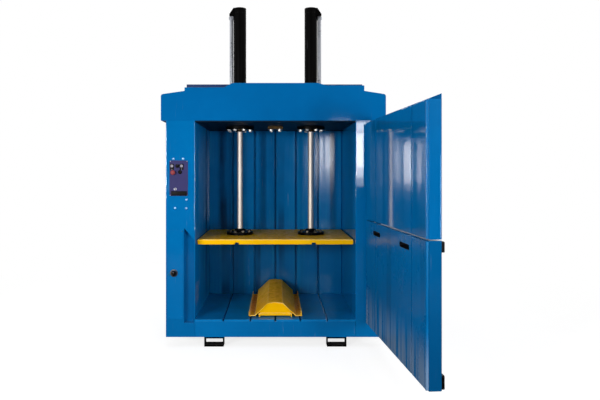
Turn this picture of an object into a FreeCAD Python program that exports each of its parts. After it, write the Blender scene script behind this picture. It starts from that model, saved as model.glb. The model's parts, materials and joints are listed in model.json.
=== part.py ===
import FreeCAD, Part
import math
import os

# Recycling baler: a vertical press with two hydraulic cylinders, a yellow platen, a split front door
# and a bale ejector hinged at the front of the chamber floor.
# Millimetres. X to the right seen from the front, Y into the machine, Z up. The origin is on the
# ground, midway between the fork loops, in the plane of the frame's front.

Vector = FreeCAD.Vector
X_AXIS = Vector(1, 0, 0)
Y_AXIS = Vector(0, 1, 0)
Z_AXIS = Vector(0, 0, 1)
SIDES = {"left": -1, "right": 1}

# ---- feet and base
FORK_SPACING = 936.0
LOOP_WIDTH = 148.0
LOOP_HEIGHT = 76.0
LOOP_DEPTH = 80.0
LOOP_BAR = 14.0
LOOP_SIDE = 6.0
LOOP_SETBACK = 10.0
SILL_HEIGHT = 115.0
SILL_DEPTH = 80.0
RAIL_WIDTH = 80.0
BEAM_WALL = 6.0
DECK_SHEET = 4.0
DECK_OVERLAP = 10.0

# ---- chamber
CHAMBER_WIDTH = 1220.0
CHAMBER_DEPTH = 915.0
CHAMBER_HEIGHT = 1502.0
FLOOR_PLANK = 14.0
BACK_PLANK = 30.0
BACK_PLANK_SHEET = 5.0
BACK_PLANK_BEVEL = 4.0
GROOVE_WIDTH = 14.0
INNER_GROOVE = 190.0
OUTER_GROOVE = 395.0
WALL_SHEET = 6.0
RIB_COUNT = 4
RIB_HEIGHT = 80.0
RIB_END_INSET = 170.0
BACK_SHEET = 4.0
BACK_RIB_DEPTH = 76.0
REAR_POST_DEPTH = 100.0

# ---- front columns
LEFT_COLUMN_WIDTH = 223.0
RIGHT_COLUMN_WIDTH = 193.0
COLUMN_DEPTH = 200.0
COLUMN_SHEET = 5.0
COLUMN_EDGE_RADIUS = 6.0
COLUMN_ABOVE_CEILING = 100.0
RECESS_WIDTH = 76.0
RECESS_RIM = 8.0
RECESS_DEPTH = 60.0
RECESS_BELOW_DOOR = 17.0
RECESS_BELOW_SEAM = 71.0
RECESS_INNER_DROP = 90.0

# ---- crosshead and hood
CEILING_PLATE = 20.0
HEADER_HEIGHT = 100.0
CROSSBEAM_WIDTH = 70.0
CROSSBEAM_HEIGHT = 200.0
CROSSBEAM_GAP = 122.0
HOOD_SHEET = 3.0
HOOD_SIDE_OVERHANG = 37.0
HOOD_REAR_OVERHANG = 35.0
HOOD_ABOVE_CEILING = 10.0
HOOD_CORNER_RADIUS = 18.0
HOOD_CORNER_RISE = 210.0
HOOD_WING_RISE = 236.0
LEFT_WING_WIDTH = 180.0
RIGHT_WING_WIDTH = 164.0
LEFT_SHOULDER_RISE = 262.0
RIGHT_SHOULDER_RISE = 277.0
HOOD_CROWN_RISE = 296.0
CROWN_HALF_WIDTH = 325.0
CROWN_RAMP = 65.0
LID_HEIGHT_ABOVE_CROWN = 5.0
LID_FRONT = 100.0
LID_REAR_MARGIN = 70.0
LID_SHEET = 3.0
HOOD_HOLE_CLEARANCE = 6.0

# ---- hydraulic cylinders
CYLINDER_SPACING = 596.0
BARREL_RADIUS = 53.0
BORE_RADIUS = 45.0
BARREL_LENGTH = 952.0
CAP_HEIGHT = 41.0
PORT_BLOCK_INNER = 32.0
PORT_BLOCK_DEPTH = 70.0
PORT_BLOCK_HEIGHT = 64.0
PORT_SHOULDER_HEIGHT = 13.0
ROD_RADIUS = 24.0
ROD_CLEARANCE = 0.05
PISTON_LENGTH = 60.0
PISTON_CLEARANCE = 0.06
PISTON_ABOVE_GLAND = 110.0
GLAND_RADIUS = 118.0
GLAND_THICKNESS = 26.0
GLAND_BOLT_CIRCLE = 95.0
GLAND_BOLTS = 8
BOLT_ACROSS_FLATS = 24.0
BOLT_HEAD = 12.0
CENTRE_BLOCK_WIDTH = 125.0
CENTRE_BLOCK_DEPTH = 150.0
CENTRE_BLOCK_THICKNESS = 24.0
CENTRE_BOLT_INSET = 28.0
PIPE_RADIUS = 16.0
PIPE_GAP = 2.0
ELBOW_SIZE = 36.0
LINE_RADIUS = 8.0
LINE_BAR = 24.0
PIPE_LEVEL_ABOVE_BEAM = 20.0

# ---- power unit under the hood
TANK_LENGTH = 500.0
TANK_DEPTH = 250.0
TANK_HEIGHT = 200.0
TANK_SHEET = 3.0
TANK_INNER_END = -100.0
TANK_TO_REAR = 45.0
MOTOR_RADIUS = 80.0
MOTOR_FINS = 24
MOTOR_LENGTH = 330.0
MOTOR_INNER_END = 90.0
MOTOR_FOOT_WIDTH = 150.0
MOTOR_FOOT_LENGTH = 170.0
MOTOR_AXIS_HEIGHT = 100.0
PUMP_SIZE = 84.0
PUMP_LENGTH = 80.0
SUCTION_RADIUS = 15.0
VALVE_WIDTH = 120.0
VALVE_DEPTH = 80.0
VALVE_TO_TANK = 10.0

# ---- platen
PLATEN_SIDE_CLEARANCE = 9.0
PLATEN_FRONT = 74.0
PLATEN_REAR_CLEARANCE = 50.0
PLATEN_THICKNESS = 38.0
PLATEN_EDGE_RADIUS = 6.0
PLATEN_REST_HEIGHT = 562.0
STRAP_NOTCH_WIDTH = 32.0
STRAP_NOTCH_HEIGHT = 14.0
ROD_FLANGE_RADIUS = 110.0
ROD_FLANGE_THICKNESS = 22.0
ROD_COLLAR_RADIUS = 42.0
ROD_COLLAR_HEIGHT = 46.0
ROD_FLANGE_BOLT_CIRCLE = 84.0

# ---- doors, drawn closed and then turned to their open rest position
DOOR_OPEN_ANGLE = 94.3
HINGE_OUTBOARD = 100.0
HINGE_AHEAD_OF_DOOR_FACE = 35.0
HINGE_TO_DOOR_EDGE = 30.0
DOOR_GAP = 4.0
DOOR_FREE_LAP = 32.0
DOOR_THICKNESS = 82.0
DOOR_SHEET = 4.0
DOOR_EDGE_RADIUS = 9.0
DOOR_FLANGE = 30.0
LINER_THICKNESS = 12.0
LINER_EDGE = 4.0
DOOR_ABOVE_DECK = 5.0
SEAM_ABOVE_FLOOR = 767.0
DOOR_SEAM_GAP = 6.0
DOOR_BELOW_HOOD = 21.0
DOOR_LIP = 30.0
STIFFENER_WIDTH = 70.0
HINGE_PIN_RADIUS = 14.0
HINGE_CLEARANCE = 0.06
EYE_RADIUS = 24.0
EYE_HEIGHT = 45.0
EYE_GAP = 0.3
HINGE_PIN_PROUD = 5.0
BRACKET_PLATE = 6.0
BRACKET_WIDTH = 70.0
BRACKET_HEIGHT = 90.0
LOWER_HINGE_INSETS = (130.0, 123.0)
UPPER_HINGE_INSETS = (121.0, 100.0)
STRAP_SLOT_LENGTH = 190.0
STRAP_SLOT_HEIGHT = 32.0
STRAP_SLOT_RADIUS = 15.0
STRAP_SLOT_DROP = 76.0
RIGHT_SLOT_X = 368.0
LEFT_SLOT_X = -259.0
SLOT_SLEEVE = 3.0
LUG_WIDTH = 42.0
LUG_DEPTH = 16.0
UPPER_LUG_DROPS = (66.0, 10.0)
LOWER_LUG_RISES = (3.0, 76.0)
LUG_CORNER = 5.0
HANDLE_FROM_EDGE = 240.0
HANDLE_ABOVE_SEAM = 364.0
HANDLE_LENGTH = 240.0
HANDLE_STANDOFF = 52.0
HANDLE_BAR = 8.0
HANDLE_WIDTH = 26.0
HANDLE_BEND = 30.0

# ---- bale ejector
EJECTOR_WALL_HALF_WIDTH = 157.0
EJECTOR_EAVE_HEIGHT = 16.0
EJECTOR_SHOULDER_HALF_WIDTH = 58.0
EJECTOR_SHOULDER_HEIGHT = 109.0
EJECTOR_RIDGE_HEIGHT = 116.0
EJECTOR_GUTTER_WIDTH = 48.0
EJECTOR_LIP = 32.0
EJECTOR_REAR_CLEARANCE = 41.0
EJECTOR_SHEET = 6.0
EJECTOR_TILT = 2.2
EJECTOR_FLOOR_GAP_FRONT = 8.0
EJECTOR_FLOOR_GAP_REAR = 0.6
EJECTOR_FACE_SETBACK = 12.0
EJECTOR_FACE_GAP = 14.0
EJECTOR_FACE_HALF_WIDTH = 131.0
PIVOT_SETBACK = 20.0
PIVOT_HEIGHT = 18.0
PIVOT_PIN_RADIUS = 8.0
PIVOT_TUBE_RADIUS = 13.0
PIVOT_CLEARANCE = 0.06
PIVOT_TUBE_HALF_LENGTH = 118.0
PIVOT_EAR_THICKNESS = 10.0
PIVOT_EAR_GAP = 1.0
PIVOT_EAR_RADIUS = 13.0
PIVOT_EAR_NOTCH = 3.0

# ---- controls on the left column; the buttons' and the selector's places are across from the panel's
# left edge and down from its top, the lamp's are from its lower left corner
PANEL_FROM_SIDE = 29.0
PANEL_WIDTH = 140.0
PANEL_BOTTOM = 1148.0
PANEL_HEIGHT = 270.0
PANEL_SHEET = 2.0
PANEL_CORNER = 6.0
ENCLOSURE_INSET = 4.0
ENCLOSURE_DEPTH = 130.0
ENCLOSURE_WALL = 3.0
BEZEL_HEIGHT = 6.0
BUTTON_CLEARANCE = 0.4
BUTTON_RADIUS = 11.0
BUTTON_SIDES = 16
BUTTON_PROUD = 5.0
BUTTON_TAIL = 10.0
SELECTOR_BAR = 5.0
SELECTOR_REACH = 9.5
SPINDLE_RADIUS = 3.0
SPINDLE_LENGTH = 8.0
STOP_HEAD_RADIUS = 18.0
STOP_HEAD_HEIGHT = 12.0
STOP_HEAD_LIFT = 5.5
UP_BUTTON = (19.0, 42.0)
SELECTOR = (60.0, 42.0)
DOWN_BUTTON = (92.0, 42.0)
STOP_BUTTON = (28.0, 92.0)
RESET_BUTTON = (80.0, 88.0)
LAMP = (45.0, 53.0)
LAMP_HEIGHT = 7.0
STRIP_FROM_SIDE = 14.0
STRIP_FROM_BOTTOM = 3.0
STRIP_LENGTH = 118.0
STRIP_HEIGHT = 34.0
STRIP_DEPTH = 9.0
STRIP_CORNER = 4.0

# ---- door lock
LOCK_COVER_FROM_SIDE = 14.0
LOCK_COVER_WIDTH = 118.0
LOCK_COVER_ABOVE_RECESS_BOTTOM = 32.0
LOCK_COVER_BELOW_RECESS_TOP = 15.0
LOCK_COVER_SHEET = 3.0
LOCK_COVER_CORNER = 8.0
KNOB_ACROSS_COVER = 49.0
KNOB_UP_COVER = 348.0
KNOB_RING_RADIUS = 29.0
KNOB_RING_HEIGHT = 5.0
KNOB_RADIUS = 19.0
KNOB_HEIGHT = 26.0
KNOB_BASE = 13.0
KNOB_STEM_RADIUS = 9.0
KNOB_STEM_CLEARANCE = 0.4
KNOB_GRIP = 8.0

# ---- places that follow from the sizes above
HALF_CHAMBER = CHAMBER_WIDTH / 2
DECK_TOP = LOOP_HEIGHT + SILL_HEIGHT + DECK_SHEET
FLOOR_Z = DECK_TOP + FLOOR_PLANK
CEILING_Z = FLOOR_Z + CHAMBER_HEIGHT
BACK_SHEET_Y = CHAMBER_DEPTH + BACK_PLANK
BODY_DEPTH = BACK_SHEET_Y + BACK_SHEET + BACK_RIB_DEPTH
SIDE_RIB_X = HALF_CHAMBER + WALL_SHEET
FRAME_HALF_WIDTH = SIDE_RIB_X + RAIL_WIDTH
LEFT_OUTSIDE = -HALF_CHAMBER - LEFT_COLUMN_WIDTH
RIGHT_OUTSIDE = HALF_CHAMBER + RIGHT_COLUMN_WIDTH
PLATE_TOP = CEILING_Z + CEILING_PLATE
BEAM_TOP = PLATE_TOP + CROSSBEAM_HEIGHT
HOOD_BOTTOM = CEILING_Z + HOOD_ABOVE_CEILING
HOOD_REAR = BODY_DEPTH + HOOD_REAR_OVERHANG
CYLINDER_DEPTH = CHAMBER_DEPTH / 2
BARREL_TOP = CEILING_Z + BARREL_LENGTH
POST_TOP = BARREL_TOP + CAP_HEIGHT
PIPE_LEVEL = BEAM_TOP + PIPE_LEVEL_ABOVE_BEAM
PIPE_OFFSET = BARREL_RADIUS + PIPE_GAP + PIPE_RADIUS
POWER_UNIT_FRONT = BODY_DEPTH - TANK_TO_REAR - TANK_DEPTH
VALVE_FRONT = POWER_UNIT_FRONT - VALVE_TO_TANK - VALVE_DEPTH
PLATEN_BOTTOM = FLOOR_Z + PLATEN_REST_HEIGHT
PLATEN_TOP = PLATEN_BOTTOM + PLATEN_THICKNESS
PLATEN_HALF_WIDTH = HALF_CHAMBER - PLATEN_SIDE_CLEARANCE
PLATEN_REAR = CHAMBER_DEPTH - PLATEN_REAR_CLEARANCE
PISTON_BOTTOM = CEILING_Z + PISTON_ABOVE_GLAND
DOOR_INNER_Y = -DOOR_GAP
DOOR_OUTER_Y = DOOR_INNER_Y - DOOR_THICKNESS
HINGE_Y = DOOR_INNER_Y - HINGE_AHEAD_OF_DOOR_FACE
HINGE_X = HALF_CHAMBER + HINGE_OUTBOARD
DOOR_HINGE_EDGE = HINGE_X - HINGE_TO_DOOR_EDGE
DOOR_FREE_EDGE = -HALF_CHAMBER - DOOR_FREE_LAP
DOOR_FRAME_Y = DOOR_INNER_Y - LINER_THICKNESS
DOOR_SEAM = FLOOR_Z + SEAM_ABOVE_FLOOR
LOWER_DOOR_BOTTOM = DECK_TOP + DOOR_ABOVE_DECK
UPPER_DOOR_TOP = HOOD_BOTTOM - DOOR_BELOW_HOOD
LOWER_DOOR_TOP = DOOR_SEAM - DOOR_SEAM_GAP / 2
UPPER_DOOR_BOTTOM = DOOR_SEAM + DOOR_SEAM_GAP / 2
STRAP_SLOT_Z = DOOR_SEAM - STRAP_SLOT_DROP
LOWER_HINGES = (LOWER_DOOR_BOTTOM + LOWER_HINGE_INSETS[0], LOWER_DOOR_TOP - LOWER_HINGE_INSETS[1])
UPPER_HINGES = (UPPER_DOOR_BOTTOM + UPPER_HINGE_INSETS[0], UPPER_DOOR_TOP - UPPER_HINGE_INSETS[1])
UPPER_LUG = [DOOR_SEAM - drop for drop in UPPER_LUG_DROPS]
LOWER_LUG = [LOWER_DOOR_BOTTOM + rise for rise in LOWER_LUG_RISES]
HANDLE_CENTRE = DOOR_SEAM + HANDLE_ABOVE_SEAM
RECESS_BOTTOM = LOWER_DOOR_BOTTOM - RECESS_BELOW_DOOR
RECESS_OUTER_TOP = DOOR_SEAM - RECESS_BELOW_SEAM
RECESS_INNER_TOP = RECESS_OUTER_TOP - RECESS_INNER_DROP
PIVOT_Y = PLATEN_FRONT + PIVOT_SETBACK
PIVOT_Z = FLOOR_Z + PIVOT_HEIGHT
EJECTOR_LENGTH = CHAMBER_DEPTH - EJECTOR_REAR_CLEARANCE - PLATEN_FRONT
PANEL_LEFT = LEFT_OUTSIDE + PANEL_FROM_SIDE
PANEL_TOP = PANEL_BOTTOM + PANEL_HEIGHT
LOCK_COVER_LEFT = LEFT_OUTSIDE + LOCK_COVER_FROM_SIDE
LOCK_COVER_BOTTOM = RECESS_BOTTOM + LOCK_COVER_ABOVE_RECESS_BOTTOM
LOCK_COVER_TOP = RECESS_OUTER_TOP - LOCK_COVER_BELOW_RECESS_TOP
KNOB_CENTRE = (LOCK_COVER_LEFT + KNOB_ACROSS_COVER, LOCK_COVER_BOTTOM + KNOB_UP_COVER)


def box(x, y, z):
    """A block between the low and high value on each axis."""
    return Part.makeBox(x[1] - x[0], y[1] - y[0], z[1] - z[0], Vector(x[0], y[0], z[0]))


def cylinder(radius, start, axis, length):
    """A round bar from its start point along an axis."""
    return Part.makeCylinder(radius, length, start, axis)


def ring(outer, inner, start, axis, length):
    """A round tube from its start point along an axis."""
    return cylinder(outer, start, axis, length).cut(cylinder(inner, start, axis, length))


def square_tube(x, y, z, wall, along):
    """A rectangular hollow section, open at both ends along one axis, or closed if that is an empty name."""
    spans = [x, y, z]
    inner = [span if axis == along else (span[0] + wall, span[1] - wall) for axis, span in zip("xyz", spans)]
    return box(*spans).cut(box(*inner))


def fuse(shapes):
    """One solid from several that are welded together."""
    return shapes[0].multiFuse(shapes[1:]).removeSplitter()


def profile_face(corners, place):
    """A flat face from (u, v, radius) corners, with place turning u and v into a point."""
    count = len(corners)
    starts = []
    ends = []
    middles = []
    for index, (u, v, radius) in enumerate(corners):
        here = place(u, v)
        before = place(*corners[index - 1][:2]) - here
        after = place(*corners[(index + 1) % count][:2]) - here
        before.normalize()
        after.normalize()
        half = before.getAngle(after) / 2
        reach = radius / math.tan(half)
        starts.append(here + before * reach)
        ends.append(here + after * reach)
        bisector = before + after
        if radius:
            bisector.normalize()
        middles.append(here + bisector * (radius / math.sin(half) - radius))
    edges = []
    for index in range(count):
        if corners[index][2]:
            edges.append(Part.Arc(starts[index], middles[index], ends[index]).toShape())
        following = starts[(index + 1) % count]
        if ends[index].distanceToPoint(following) > 1e-6:
            edges.append(Part.LineSegment(ends[index], following).toShape())
    return Part.Face(Part.Wire(edges))


def front_profile(corners, y):
    """A profile of (x, z, radius) corners, seen from the front, extruded between two depths."""
    face = profile_face(corners, lambda u, v: Vector(u, y[0], v))
    return face.extrude(Vector(0, y[1] - y[0], 0))


def plan_profile(corners, z):
    """A profile of (x, y, radius) corners, seen from above, extruded between two heights."""
    face = profile_face(corners, lambda u, v: Vector(u, v, z[0]))
    return face.extrude(Vector(0, 0, z[1] - z[0]))


def cut_corners(x, z, cut):
    """Corners of a plate seen from the front, each cut off at 45 degrees."""
    points = [(x[0], z[0] + cut), (x[0] + cut, z[0]), (x[1] - cut, z[0]), (x[1], z[0] + cut)]
    points += [(x[1], z[1] - cut), (x[1] - cut, z[1]), (x[0] + cut, z[1]), (x[0], z[1] - cut)]
    return [(u, v, 0) for u, v in points]


def rounded_front(x, y, z, radius):
    """A plate with rounded corners seen from the front."""
    corners = [(x[0], z[0], radius), (x[1], z[0], radius), (x[1], z[1], radius), (x[0], z[1], radius)]
    return front_profile(corners, y)


def prism(sides, radius, start, axis, height):
    """A bar with flat sides from its start point along an axis, with its corners at a radius."""
    first = X_AXIS if abs(axis.x) < 0.5 else Y_AXIS
    second = axis.cross(first)
    points = []
    for index in range(sides + 1):
        angle = 2 * math.pi / sides * index
        points.append(start + first * (radius * math.cos(angle)) + second * (radius * math.sin(angle)))
    return Part.Face(Part.makePolygon(points)).extrude(axis * height)


def hex_head(across_flats, start, axis, height):
    """A hexagon head that stands on its start point."""
    return prism(6, across_flats / math.sqrt(3), start, axis, height)


def centre_to_edges(half_width, grooves):
    """Spans between one wall and the other, with a strap groove at each given place."""
    spans = []
    low = -half_width
    for groove in grooves:
        spans.append((low, groove - GROOVE_WIDTH / 2))
        low = groove + GROOVE_WIDTH / 2
    spans.append((low, half_width))
    return spans


def chamber_grooves():
    """Places of the strap grooves across the chamber."""
    return (-OUTER_GROOVE, -INNER_GROOVE, 0.0, INNER_GROOVE, OUTER_GROOVE)


# ---- base

def base_frame():
    """Sill, rear beam, rails over the fork loops, side rails and the deck sheet, welded up."""
    level = (LOOP_HEIGHT, LOOP_HEIGHT + SILL_HEIGHT)
    rear = (BACK_SHEET_Y - DECK_OVERLAP, BODY_DEPTH)
    parts = [square_tube((-HALF_CHAMBER, HALF_CHAMBER), (0, SILL_DEPTH), level, BEAM_WALL, "x")]
    parts.append(square_tube((-FRAME_HALF_WIDTH, FRAME_HALF_WIDTH), rear, level, BEAM_WALL, ""))
    for side in SIDES.values():
        centre = side * FORK_SPACING / 2
        across = (centre - LOOP_WIDTH / 2, centre + LOOP_WIDTH / 2)
        parts.append(square_tube(across, (SILL_DEPTH, rear[0]), level, BEAM_WALL, "y"))
        across = sorted((side * (HALF_CHAMBER - DECK_OVERLAP), side * FRAME_HALF_WIDTH))
        parts.append(square_tube(across, (COLUMN_DEPTH, rear[0]), level, BEAM_WALL, "y"))
    parts.append(box((-HALF_CHAMBER, HALF_CHAMBER), (0, BACK_SHEET_Y), (level[1], DECK_TOP)))
    return fuse(parts)


def fork_loop(side, front):
    """A black loop under the frame: two thick bars and two thin sides round the fork pocket."""
    centre = side * FORK_SPACING / 2
    across = (centre - LOOP_WIDTH / 2, centre + LOOP_WIDTH / 2)
    pocket = (across[0] + LOOP_SIDE, across[1] - LOOP_SIDE)
    near = LOOP_SETBACK if front else BODY_DEPTH - LOOP_SETBACK - LOOP_DEPTH
    deep = (near, near + LOOP_DEPTH)
    return box(across, deep, (0, LOOP_HEIGHT)).cut(box(pocket, deep, (LOOP_BAR, LOOP_HEIGHT - LOOP_BAR)))


def floor_planks():
    """Floor bars with the strap grooves between them."""
    spans = centre_to_edges(HALF_CHAMBER, chamber_grooves())
    return [box(span, (0, CHAMBER_DEPTH), (DECK_TOP, FLOOR_Z)) for span in spans]


# ---- walls and columns

def rib_levels(low, high, count):
    """Centres of evenly spaced ribs between two heights."""
    first = low + RIB_END_INSET
    step = (high - low - 2 * RIB_END_INSET) / (count - 1)
    return [first + step * index for index in range(count)]


def side_wall(side):
    """A chamber side wall with hollow ribs on its outside."""
    sheet_x = sorted((side * HALF_CHAMBER, side * SIDE_RIB_X))
    rib_x = sorted((side * SIDE_RIB_X, side * FRAME_HALF_WIDTH))
    low = LOOP_HEIGHT + SILL_HEIGHT
    parts = [box(sheet_x, (COLUMN_DEPTH, BACK_SHEET_Y + BACK_SHEET), (low, CEILING_Z))]
    for centre in rib_levels(low, CEILING_Z, RIB_COUNT):
        span = (centre - RIB_HEIGHT / 2, centre + RIB_HEIGHT / 2)
        depth = (COLUMN_DEPTH, BODY_DEPTH - REAR_POST_DEPTH)
        parts.append(square_tube(rib_x, depth, span, BEAM_WALL, "y"))
    return fuse(parts)


def back_planks():
    """Folded back-wall planks with bevelled front edges and the strap grooves between them."""
    planks = []
    near = CHAMBER_DEPTH
    bevel = BACK_PLANK_BEVEL
    for low, high in centre_to_edges(HALF_CHAMBER, chamber_grooves()):
        front = [(low, near + bevel, 0), (low + bevel, near, 0)]
        front += [(high - bevel, near, 0), (high, near + bevel, 0)]
        outline = front + [(high, BACK_SHEET_Y, 0), (low, BACK_SHEET_Y, 0)]
        plank = plan_profile(outline, (DECK_TOP, CEILING_Z))
        hollow = (low + BACK_PLANK_SHEET, high - BACK_PLANK_SHEET)
        plank = plank.cut(box(hollow, (near + BACK_PLANK_SHEET, BACK_SHEET_Y), (DECK_TOP, CEILING_Z)))
        planks.append(plank)
    return planks


def back_frame():
    """Back sheet, its ribs and the two rear posts."""
    low = LOOP_HEIGHT + SILL_HEIGHT
    sheet_y = (BACK_SHEET_Y, BACK_SHEET_Y + BACK_SHEET)
    parts = [box((-HALF_CHAMBER, HALF_CHAMBER), sheet_y, (low, CEILING_Z))]
    for centre in rib_levels(low, CEILING_Z, RIB_COUNT):
        span = (centre - RIB_HEIGHT / 2, centre + RIB_HEIGHT / 2)
        across = (-SIDE_RIB_X, SIDE_RIB_X)
        parts.append(square_tube(across, (sheet_y[1], BODY_DEPTH), span, BEAM_WALL, "x"))
    for side in SIDES.values():
        across = sorted((side * SIDE_RIB_X, side * FRAME_HALF_WIDTH))
        deep = (BODY_DEPTH - REAR_POST_DEPTH, BODY_DEPTH)
        parts.append(square_tube(across, deep, (low, CEILING_Z), BEAM_WALL, "z"))
    return fuse(parts)


def column_shell(x):
    """A folded column, open at its top, with rounded outer edges."""
    top = CEILING_Z + COLUMN_ABOVE_CEILING
    radius = COLUMN_EDGE_RADIUS
    outline = [(x[0], 0, radius), (x[1], 0, radius), (x[1], COLUMN_DEPTH, 0), (x[0], COLUMN_DEPTH, 0)]
    inner_x = (x[0] + COLUMN_SHEET, x[1] - COLUMN_SHEET)
    inner_y = (COLUMN_SHEET, COLUMN_DEPTH - COLUMN_SHEET)
    hollow = box(inner_x, inner_y, (LOOP_HEIGHT + COLUMN_SHEET, top))
    return plan_profile(outline, (LOOP_HEIGHT, top)).cut(hollow)


def recess_corners(grow):
    """Outline of the lock recess from the front: its inner top corner is cut off at a slant."""
    right = -HALF_CHAMBER - RECESS_RIM + grow
    left = -HALF_CHAMBER - RECESS_RIM - RECESS_WIDTH - grow
    bottom = RECESS_BOTTOM - grow
    slant = [(right, RECESS_INNER_TOP, 0), (left, RECESS_OUTER_TOP + grow, 0)]
    return [(left, bottom, 0), (right, bottom, 0)] + slant


def left_column():
    """The wide column with the controls' window and the lock recess."""
    shell = column_shell((LEFT_OUTSIDE, -HALF_CHAMBER))
    pocket = front_profile(recess_corners(COLUMN_SHEET), (COLUMN_SHEET, RECESS_DEPTH + COLUMN_SHEET))
    shell = shell.fuse(pocket).removeSplitter()
    shell = shell.cut(front_profile(recess_corners(0), (0, RECESS_DEPTH)))
    return shell.cut(box(enclosure_x(0), (0, COLUMN_SHEET), enclosure_z(0)))


def right_column():
    """The narrow column that carries the door hinges."""
    return column_shell((HALF_CHAMBER, RIGHT_OUTSIDE))


# ---- crosshead and hood

def cylinder_centre(side, z):
    """A point on a cylinder's axis."""
    return Vector(side * CYLINDER_SPACING / 2, CYLINDER_DEPTH, z)


def crosshead():
    """Ceiling plate, front header and the two beams that hold the cylinders between them."""
    level = (CEILING_Z, PLATE_TOP)
    parts = [box((-HALF_CHAMBER, HALF_CHAMBER), (0, COLUMN_DEPTH), level)]
    parts.append(box((-FRAME_HALF_WIDTH, FRAME_HALF_WIDTH), (COLUMN_DEPTH, BODY_DEPTH), level))
    header_z = (PLATE_TOP, CEILING_Z + HEADER_HEIGHT)
    parts.append(square_tube((-HALF_CHAMBER, HALF_CHAMBER), (0, SILL_DEPTH), header_z, BEAM_WALL, "x"))
    for near in (CYLINDER_DEPTH - CROSSBEAM_GAP / 2 - CROSSBEAM_WIDTH, CYLINDER_DEPTH + CROSSBEAM_GAP / 2):
        across = (-FRAME_HALF_WIDTH, FRAME_HALF_WIDTH)
        deep = (near, near + CROSSBEAM_WIDTH)
        parts.append(square_tube(across, deep, (PLATE_TOP, BEAM_TOP), BEAM_WALL, "x"))
    whole = fuse(parts)
    for side in SIDES.values():
        whole = whole.cut(cylinder(BARREL_RADIUS, cylinder_centre(side, CEILING_Z), Z_AXIS, CEILING_PLATE))
    return whole


def hood_outline(inset):
    """Corners of the hood from the front, from its lower left round over the top."""
    left = LEFT_OUTSIDE - HOOD_SIDE_OVERHANG + inset
    right = RIGHT_OUTSIDE + HOOD_SIDE_OVERHANG - inset
    step_left = LEFT_OUTSIDE - HOOD_SIDE_OVERHANG + LEFT_WING_WIDTH + inset
    step_right = RIGHT_OUTSIDE + HOOD_SIDE_OVERHANG - RIGHT_WING_WIDTH - inset
    ramp = CROWN_HALF_WIDTH + CROWN_RAMP
    radius = HOOD_CORNER_RADIUS - inset
    base = HOOD_BOTTOM
    rise = CEILING_Z - inset
    return [
        (left, base, 0),
        (left, rise + HOOD_CORNER_RISE, radius),
        (step_left, rise + HOOD_WING_RISE, 0),
        (step_left, rise + LEFT_SHOULDER_RISE, 0),
        (-ramp, rise + LEFT_SHOULDER_RISE, 0),
        (-CROWN_HALF_WIDTH, rise + HOOD_CROWN_RISE, 0),
        (CROWN_HALF_WIDTH, rise + HOOD_CROWN_RISE, 0),
        (ramp, rise + RIGHT_SHOULDER_RISE, 0),
        (step_right, rise + RIGHT_SHOULDER_RISE, 0),
        (step_right, rise + HOOD_WING_RISE, 0),
        (right, rise + HOOD_CORNER_RISE, radius),
        (right, base, 0),
    ]


def hood_body():
    """The hood's outer form."""
    return front_profile(hood_outline(0), (-HOOD_SHEET, HOOD_REAR))


def post_openings(low, high):
    """The openings through which each cylinder and its pipe stand up."""
    openings = []
    reach = BARREL_RADIUS + HOOD_HOLE_CLEARANCE
    beyond = PIPE_OFFSET + PIPE_RADIUS + HOOD_HOLE_CLEARANCE
    for side in SIDES.values():
        centre = side * CYLINDER_SPACING / 2
        across = sorted((centre - side * reach, centre + side * beyond))
        openings.append(box(across, (CYLINDER_DEPTH - reach, CYLINDER_DEPTH + reach), (low, high)))
    return Part.makeCompound(openings)


def hood():
    """The sheet hood, open below, with openings for the two cylinders."""
    inner = front_profile(hood_outline(HOOD_SHEET), (0, HOOD_REAR - HOOD_SHEET))
    shell = hood_body().cut(inner)
    return shell.cut(post_openings(PIPE_LEVEL, BARREL_TOP))


def lid_top():
    """Height of the service lid's top."""
    return CEILING_Z + HOOD_CROWN_RISE + LID_HEIGHT_ABOVE_CROWN


def service_lid():
    """A shallow lid on the hood, seated on the shoulders behind the hood's front edge."""
    outline = hood_outline(0)
    across = (outline[2][0], outline[8][0])
    deep = (LID_FRONT, HOOD_REAR - LID_REAR_MARGIN)
    low = CEILING_Z + LEFT_SHOULDER_RISE
    inner_x = (across[0] + LID_SHEET, across[1] - LID_SHEET)
    inner_y = (deep[0] + LID_SHEET, deep[1] - LID_SHEET)
    lid = box(across, deep, (low, lid_top())).cut(box(inner_x, inner_y, (low, lid_top() - LID_SHEET)))
    lid = lid.cut(hood_body())
    return lid.cut(post_openings(low, lid_top()))


# ---- cylinders

def cylinder_barrel(side):
    """A cylinder barrel, which stands on its gland in the ceiling plate."""
    return ring(BARREL_RADIUS, BORE_RADIUS, cylinder_centre(side, CEILING_Z), Z_AXIS, BARREL_TOP - CEILING_Z)


def cylinder_cap(side):
    """The round cap with its port block, whose shoulder slopes down over the pipe."""
    centre = cylinder_centre(side, BARREL_TOP)
    cap = cylinder(BARREL_RADIUS, centre, Z_AXIS, CAP_HEIGHT)
    inner = centre.x + side * PORT_BLOCK_INNER
    edge = centre.x + side * BARREL_RADIUS
    outer = centre.x + side * (PIPE_OFFSET + PIPE_RADIUS)
    low = POST_TOP - PORT_BLOCK_HEIGHT
    outline = [
        (inner, low, 0),
        (outer, low, 0),
        (outer, low + PORT_SHOULDER_HEIGHT, 0),
        (edge, POST_TOP, 0),
        (inner, POST_TOP, 0),
    ]
    deep = (CYLINDER_DEPTH - PORT_BLOCK_DEPTH / 2, CYLINDER_DEPTH + PORT_BLOCK_DEPTH / 2)
    block = front_profile(outline, deep)
    barrel = cylinder(BARREL_RADIUS, cylinder_centre(side, low), Z_AXIS, BARREL_TOP - low)
    return cap.fuse(block.cut(barrel)).removeSplitter()


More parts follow.
